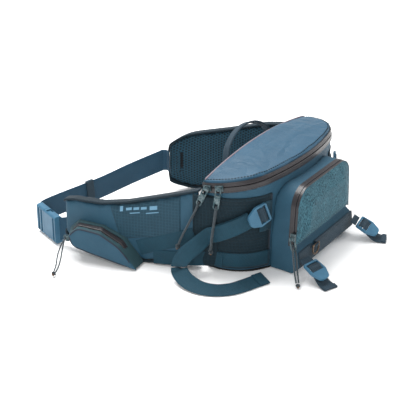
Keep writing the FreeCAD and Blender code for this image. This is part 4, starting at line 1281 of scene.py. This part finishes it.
overlay = wing_patch("wing_overlay", ((118, 38), (-96, 18)), ((134, 92), (-112, 30)), 24, 48, 0.5,
                     overlay_cloth)
join_body(overlay, "wing_left", "ripstop")
BARS = ((118, 88, 5, 8), (108, 89, 9, 4), (96, 91, 9, 4), (84, 93, 9, 4), (70, 95, 12, 6),
        (102, 83, 16, 1.6), (76, 86, 20, 1.6))
marks = []
for y, z, wide, tall in BARS:
    run = (-wide, wide * 0.2)
    marks.append(wing_patch("mark", ((y, z - tall / 2), run), ((y, z + tall / 2), run), 4, 8, 1.0, ink))
join_body(merge("wing_print_bars", marks), "wing_left", "ripstop")
print("bars", len(marks))

# %% Bar-tack on the far wing
TIP_ALONG = Vector((-0.74, 0.67, 0))
TIP_OUT = Vector((-0.67, -0.74, 0))
right_tree = piece_tree(right_pad)
tack_line = [right_tree.find_nearest(v(56, 176, 44 + 2 * k))[0] for k in range(15)]
tacks = []
for shift in (-1.6, -0.5, 0.6, 1.7):
    moved = [p + TIP_ALONG * shift * MM + TIP_OUT * 0.5 * MM for p in tack_line]
    tacks.append(tube("tack", moved, 0.0006, thread))
join_body(merge("wing_bar_tack", tacks), "wing_right", "binding")
print("tacks", len(tacks))

# %% [markdown]
# ## Wing pouch
# A small zipped pouch stands on the left wing. Its face is smooth cloth framed by piping, its
# side band is a duller gusset, and a zip crosses the top of the band.

# %% Wing pouch
POUCH_ORIGIN = v(-177.5, 84, 0)
POUCH_ALONG = Vector((-0.243, 0.97, 0))
POUCH_OUT = Vector((-0.97, -0.243, 0))
GUSSET_DEPTH = 0.0275
pouch = soft_copy("pouch_body", ["pouch_shell"], 0.0014, 12, body_cloth, depth=0.0008, size=0.03)
pouch.data.materials.append(gusset_cloth)
for face_of_pouch in pouch.data.polygons:
    if (face_of_pouch.center - POUCH_ORIGIN).dot(POUCH_OUT) < GUSSET_DEPTH:
        face_of_pouch.material_index = 1
join_body(pouch, "wing_left", "body_fabric", "pouch_shell")
print("pouch points", len(pouch.data.vertices))

# %% Pouch piping and zip
RING_STEPS = 90


def pouch_ring(n, grow):
    """Line round the pouch at one distance from the wing."""
    tree = piece_tree(pouch)
    centre = POUCH_ORIGIN + POUCH_ALONG * 0.070 + UP * 0.034 + POUCH_OUT * n
    made = []
    for k in range(RING_STEPS):
        turn = TWO_PI * k / RING_STEPS
        aim = POUCH_ALONG * math.cos(turn) + UP * math.sin(turn)
        hit = tree.ray_cast(centre + aim * 0.2, -aim)
        if hit[0] is not None:
            made.append(hit[0] + aim * grow)
    for again in range(4):
        made = [(made[k - 1] + made[k] * 2 + made[(k + 1) % len(made)]) / 4 for k in range(len(made))]
    return made


outer_piping = tube("pouch_face_piping", pouch_ring(0.0285, 0.0004), 0.0013, piping_cord, closed_line=True)
join_body(outer_piping, "wing_left", "body_fabric")
pouch_tape = soft_copy("pouch_zip_tape", ["pouch_zip"], 0.0009, 2, tape_cloth)
join_body(pouch_tape, "wing_left", "zip_tape", "pouch_zip")
coil_points = [p for p in pouch_ring(0.016, 0.0003) if (p - POUCH_ORIGIN).z > 0.030]
coil = tube("pouch_coil", coil_points, 0.0011, thread)
join_body(coil, "wing_left", "zip_tape")
print("pouch ready", len(coil_points))

# %% [markdown]
# ## Belt
# The belt webbing leaves the far wing, runs round the back and ends in the male half of the
# buckle. Its keeper is a short elastic loop, and the female half hangs on a stub.

# %% Belt
BELT_WIDTH = 0.038
BUCKLE_MOUTH = v(-190, 266, 25)
BUCKLE_TURN = math.radians(24.7)
buckle_out = Vector((math.sin(BUCKLE_TURN), math.cos(BUCKLE_TURN), 0))
belt_end = BUCKLE_MOUTH + buckle_out * 0.0175 + v(3.2, 4.6, 0)
mid = v(-60, 262, 33)
far_tip = v(52, 208, 0)
toward = (Vector((mid.x, mid.y, 0)) - far_tip).normalized()
belt_start = far_tip + toward * 0.004 + UP * 0.056
belt_line = [belt_start, v(-4, 238, 44), mid, v(-160, 293, 26.5), belt_end]
belt = webbing("belt_band", [(p, UP) for p in belt_line], BELT_WIDTH, STRAP_THICK, belt_webbing_finish)
join_body(belt, "belt_strap", "webbing", "belt_webbing")
keeper = soft_copy("keeper_loop", ["belt_keeper"], 0.0007, 2, slate_webbing)
join_body(keeper, "belt_keeper", "dark_webbing", "belt_keeper")
stub_line = [v(-191, 184, 39), v(-195.7, 216, 30), BUCKLE_MOUTH - buckle_out * 0.0315]
stub = webbing("belt_stub_band", [(p, UP) for p in stub_line], BELT_WIDTH, STRAP_THICK, belt_webbing_finish)
join_body(stub, "wing_left", "webbing", "belt_stub")
print("belt ready")

# %% [markdown]
# ## Hard parts
# Buckles, locks, ring, sliders and the hidden frame sheet keep their CAD shape. They only get a
# new finish. The finish's grain is small, so that it shows on a curved edge as well as a face.

# %% Hard parts
HARD_PARTS = (
    (sheet_plastic, ["frame_sheet"]),
    (buckle_plastic, ["buckle_female", "buckle_male", "buckle_latch_upper", "buckle_latch_lower",
                      "side_lock_left", "side_lock_right", "lash_lock_left", "lash_lock_right"]),
    (ring_metal, ["dring"]),
    (slider_metal, ["main_rear_slider", "main_rear_pull", "main_front_slider", "main_front_pull",
                    "pocket_slider", "pocket_pull", "pouch_slider"]),
)
for finish, names in HARD_PARTS:
    for name in names:
        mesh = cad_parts[name].data
        mesh.materials.clear()
        mesh.materials.append(finish)
print("hard parts finished")

# %% [markdown]
# ## Webbing through the ladder-locks
# The strap comes up through one slot, turns over the bar and leaves through the next slot. The
# short stretch inside each lock rides on the lock, so it tilts with it.

# %% Webbing through the locks
THREAD_STEPS = ((0.4, 0.4), (2.2, 1.6), (4.6, 4.4), (6.4, 4.9), (8.4, 4.4), (10.6, 2.4), (12.6, 1.8),
                (14.6, 2.8))


def lock_thread(name, base, along, out, body, sign=1):
    """Webbing over a lock's bar. The steps are (along, outward) in millimetres."""
    along = along.normalized()
    out = (out - along * out.dot(along)).normalized()
    side = along.cross(out)
    stations = []
    for x, n in THREAD_STEPS:
        place = base + along * x * MM + out * n * MM
        stations.append((mirrored(place, sign), mirrored(side, sign)))
    piece = webbing(name, stations, 0.0242, 0.0014, slate_webbing, step=1.2)
    join_body(piece, body, "dark_webbing")


lock_centre = side_point(64, 104, 6.8)
lock_ahead = side_point(41, 92, 15.4)
lock_out = side_point(52, 104, 40) - side_point(52, 104, 0)
lock_thread("side_thread_left", lock_centre, lock_ahead - lock_centre, lock_out, "side_lock_left")
lock_thread("side_thread_right", lock_centre, lock_ahead - lock_centre, lock_out, "side_lock_right", -1)
for sign, label in ((-1, "left"), (1, "right")):
    lean = Vector((sign * 0.15, -0.86, -0.42)).normalized()
    base = v(sign * 80, -142, 25) + lean * 0.0044
    lock_thread("lash_thread_" + label, base, lean, Vector((0, -0.42, 0.86)), "lash_lock_" + label)
print("locks threaded")

# %% [markdown]
# ## Floor
# The floor is one wide pale square just below the pack.

# %% Floor
FLOOR_HALF = 6.0
FLOOR_DROP = -0.0005
floor_mesh = bpy.data.meshes.new("floor")
floor_mesh.from_pydata([(x * FLOOR_HALF, y * FLOOR_HALF, FLOOR_DROP)
                        for x, y in ((-1, -1), (1, -1), (1, 1), (-1, 1))], [], [(0, 1, 2, 3)])
floor_finish = start_finish("floor_finish", 0.6, specular=0.2)
floor_place = flat_map(floor_finish)[2]
floor_cloud = blotches(floor_finish, floor_place, 3.0)
tint(floor_finish, floor_cloud, (0.93, 0.93, 0.93, 1), (0.97, 0.97, 0.97, 1))
floor_mesh.materials.append(floor_finish)
floor = bpy.data.objects.new("floor", floor_mesh)
bpy.context.collection.objects.link(floor)
print("floor ready")
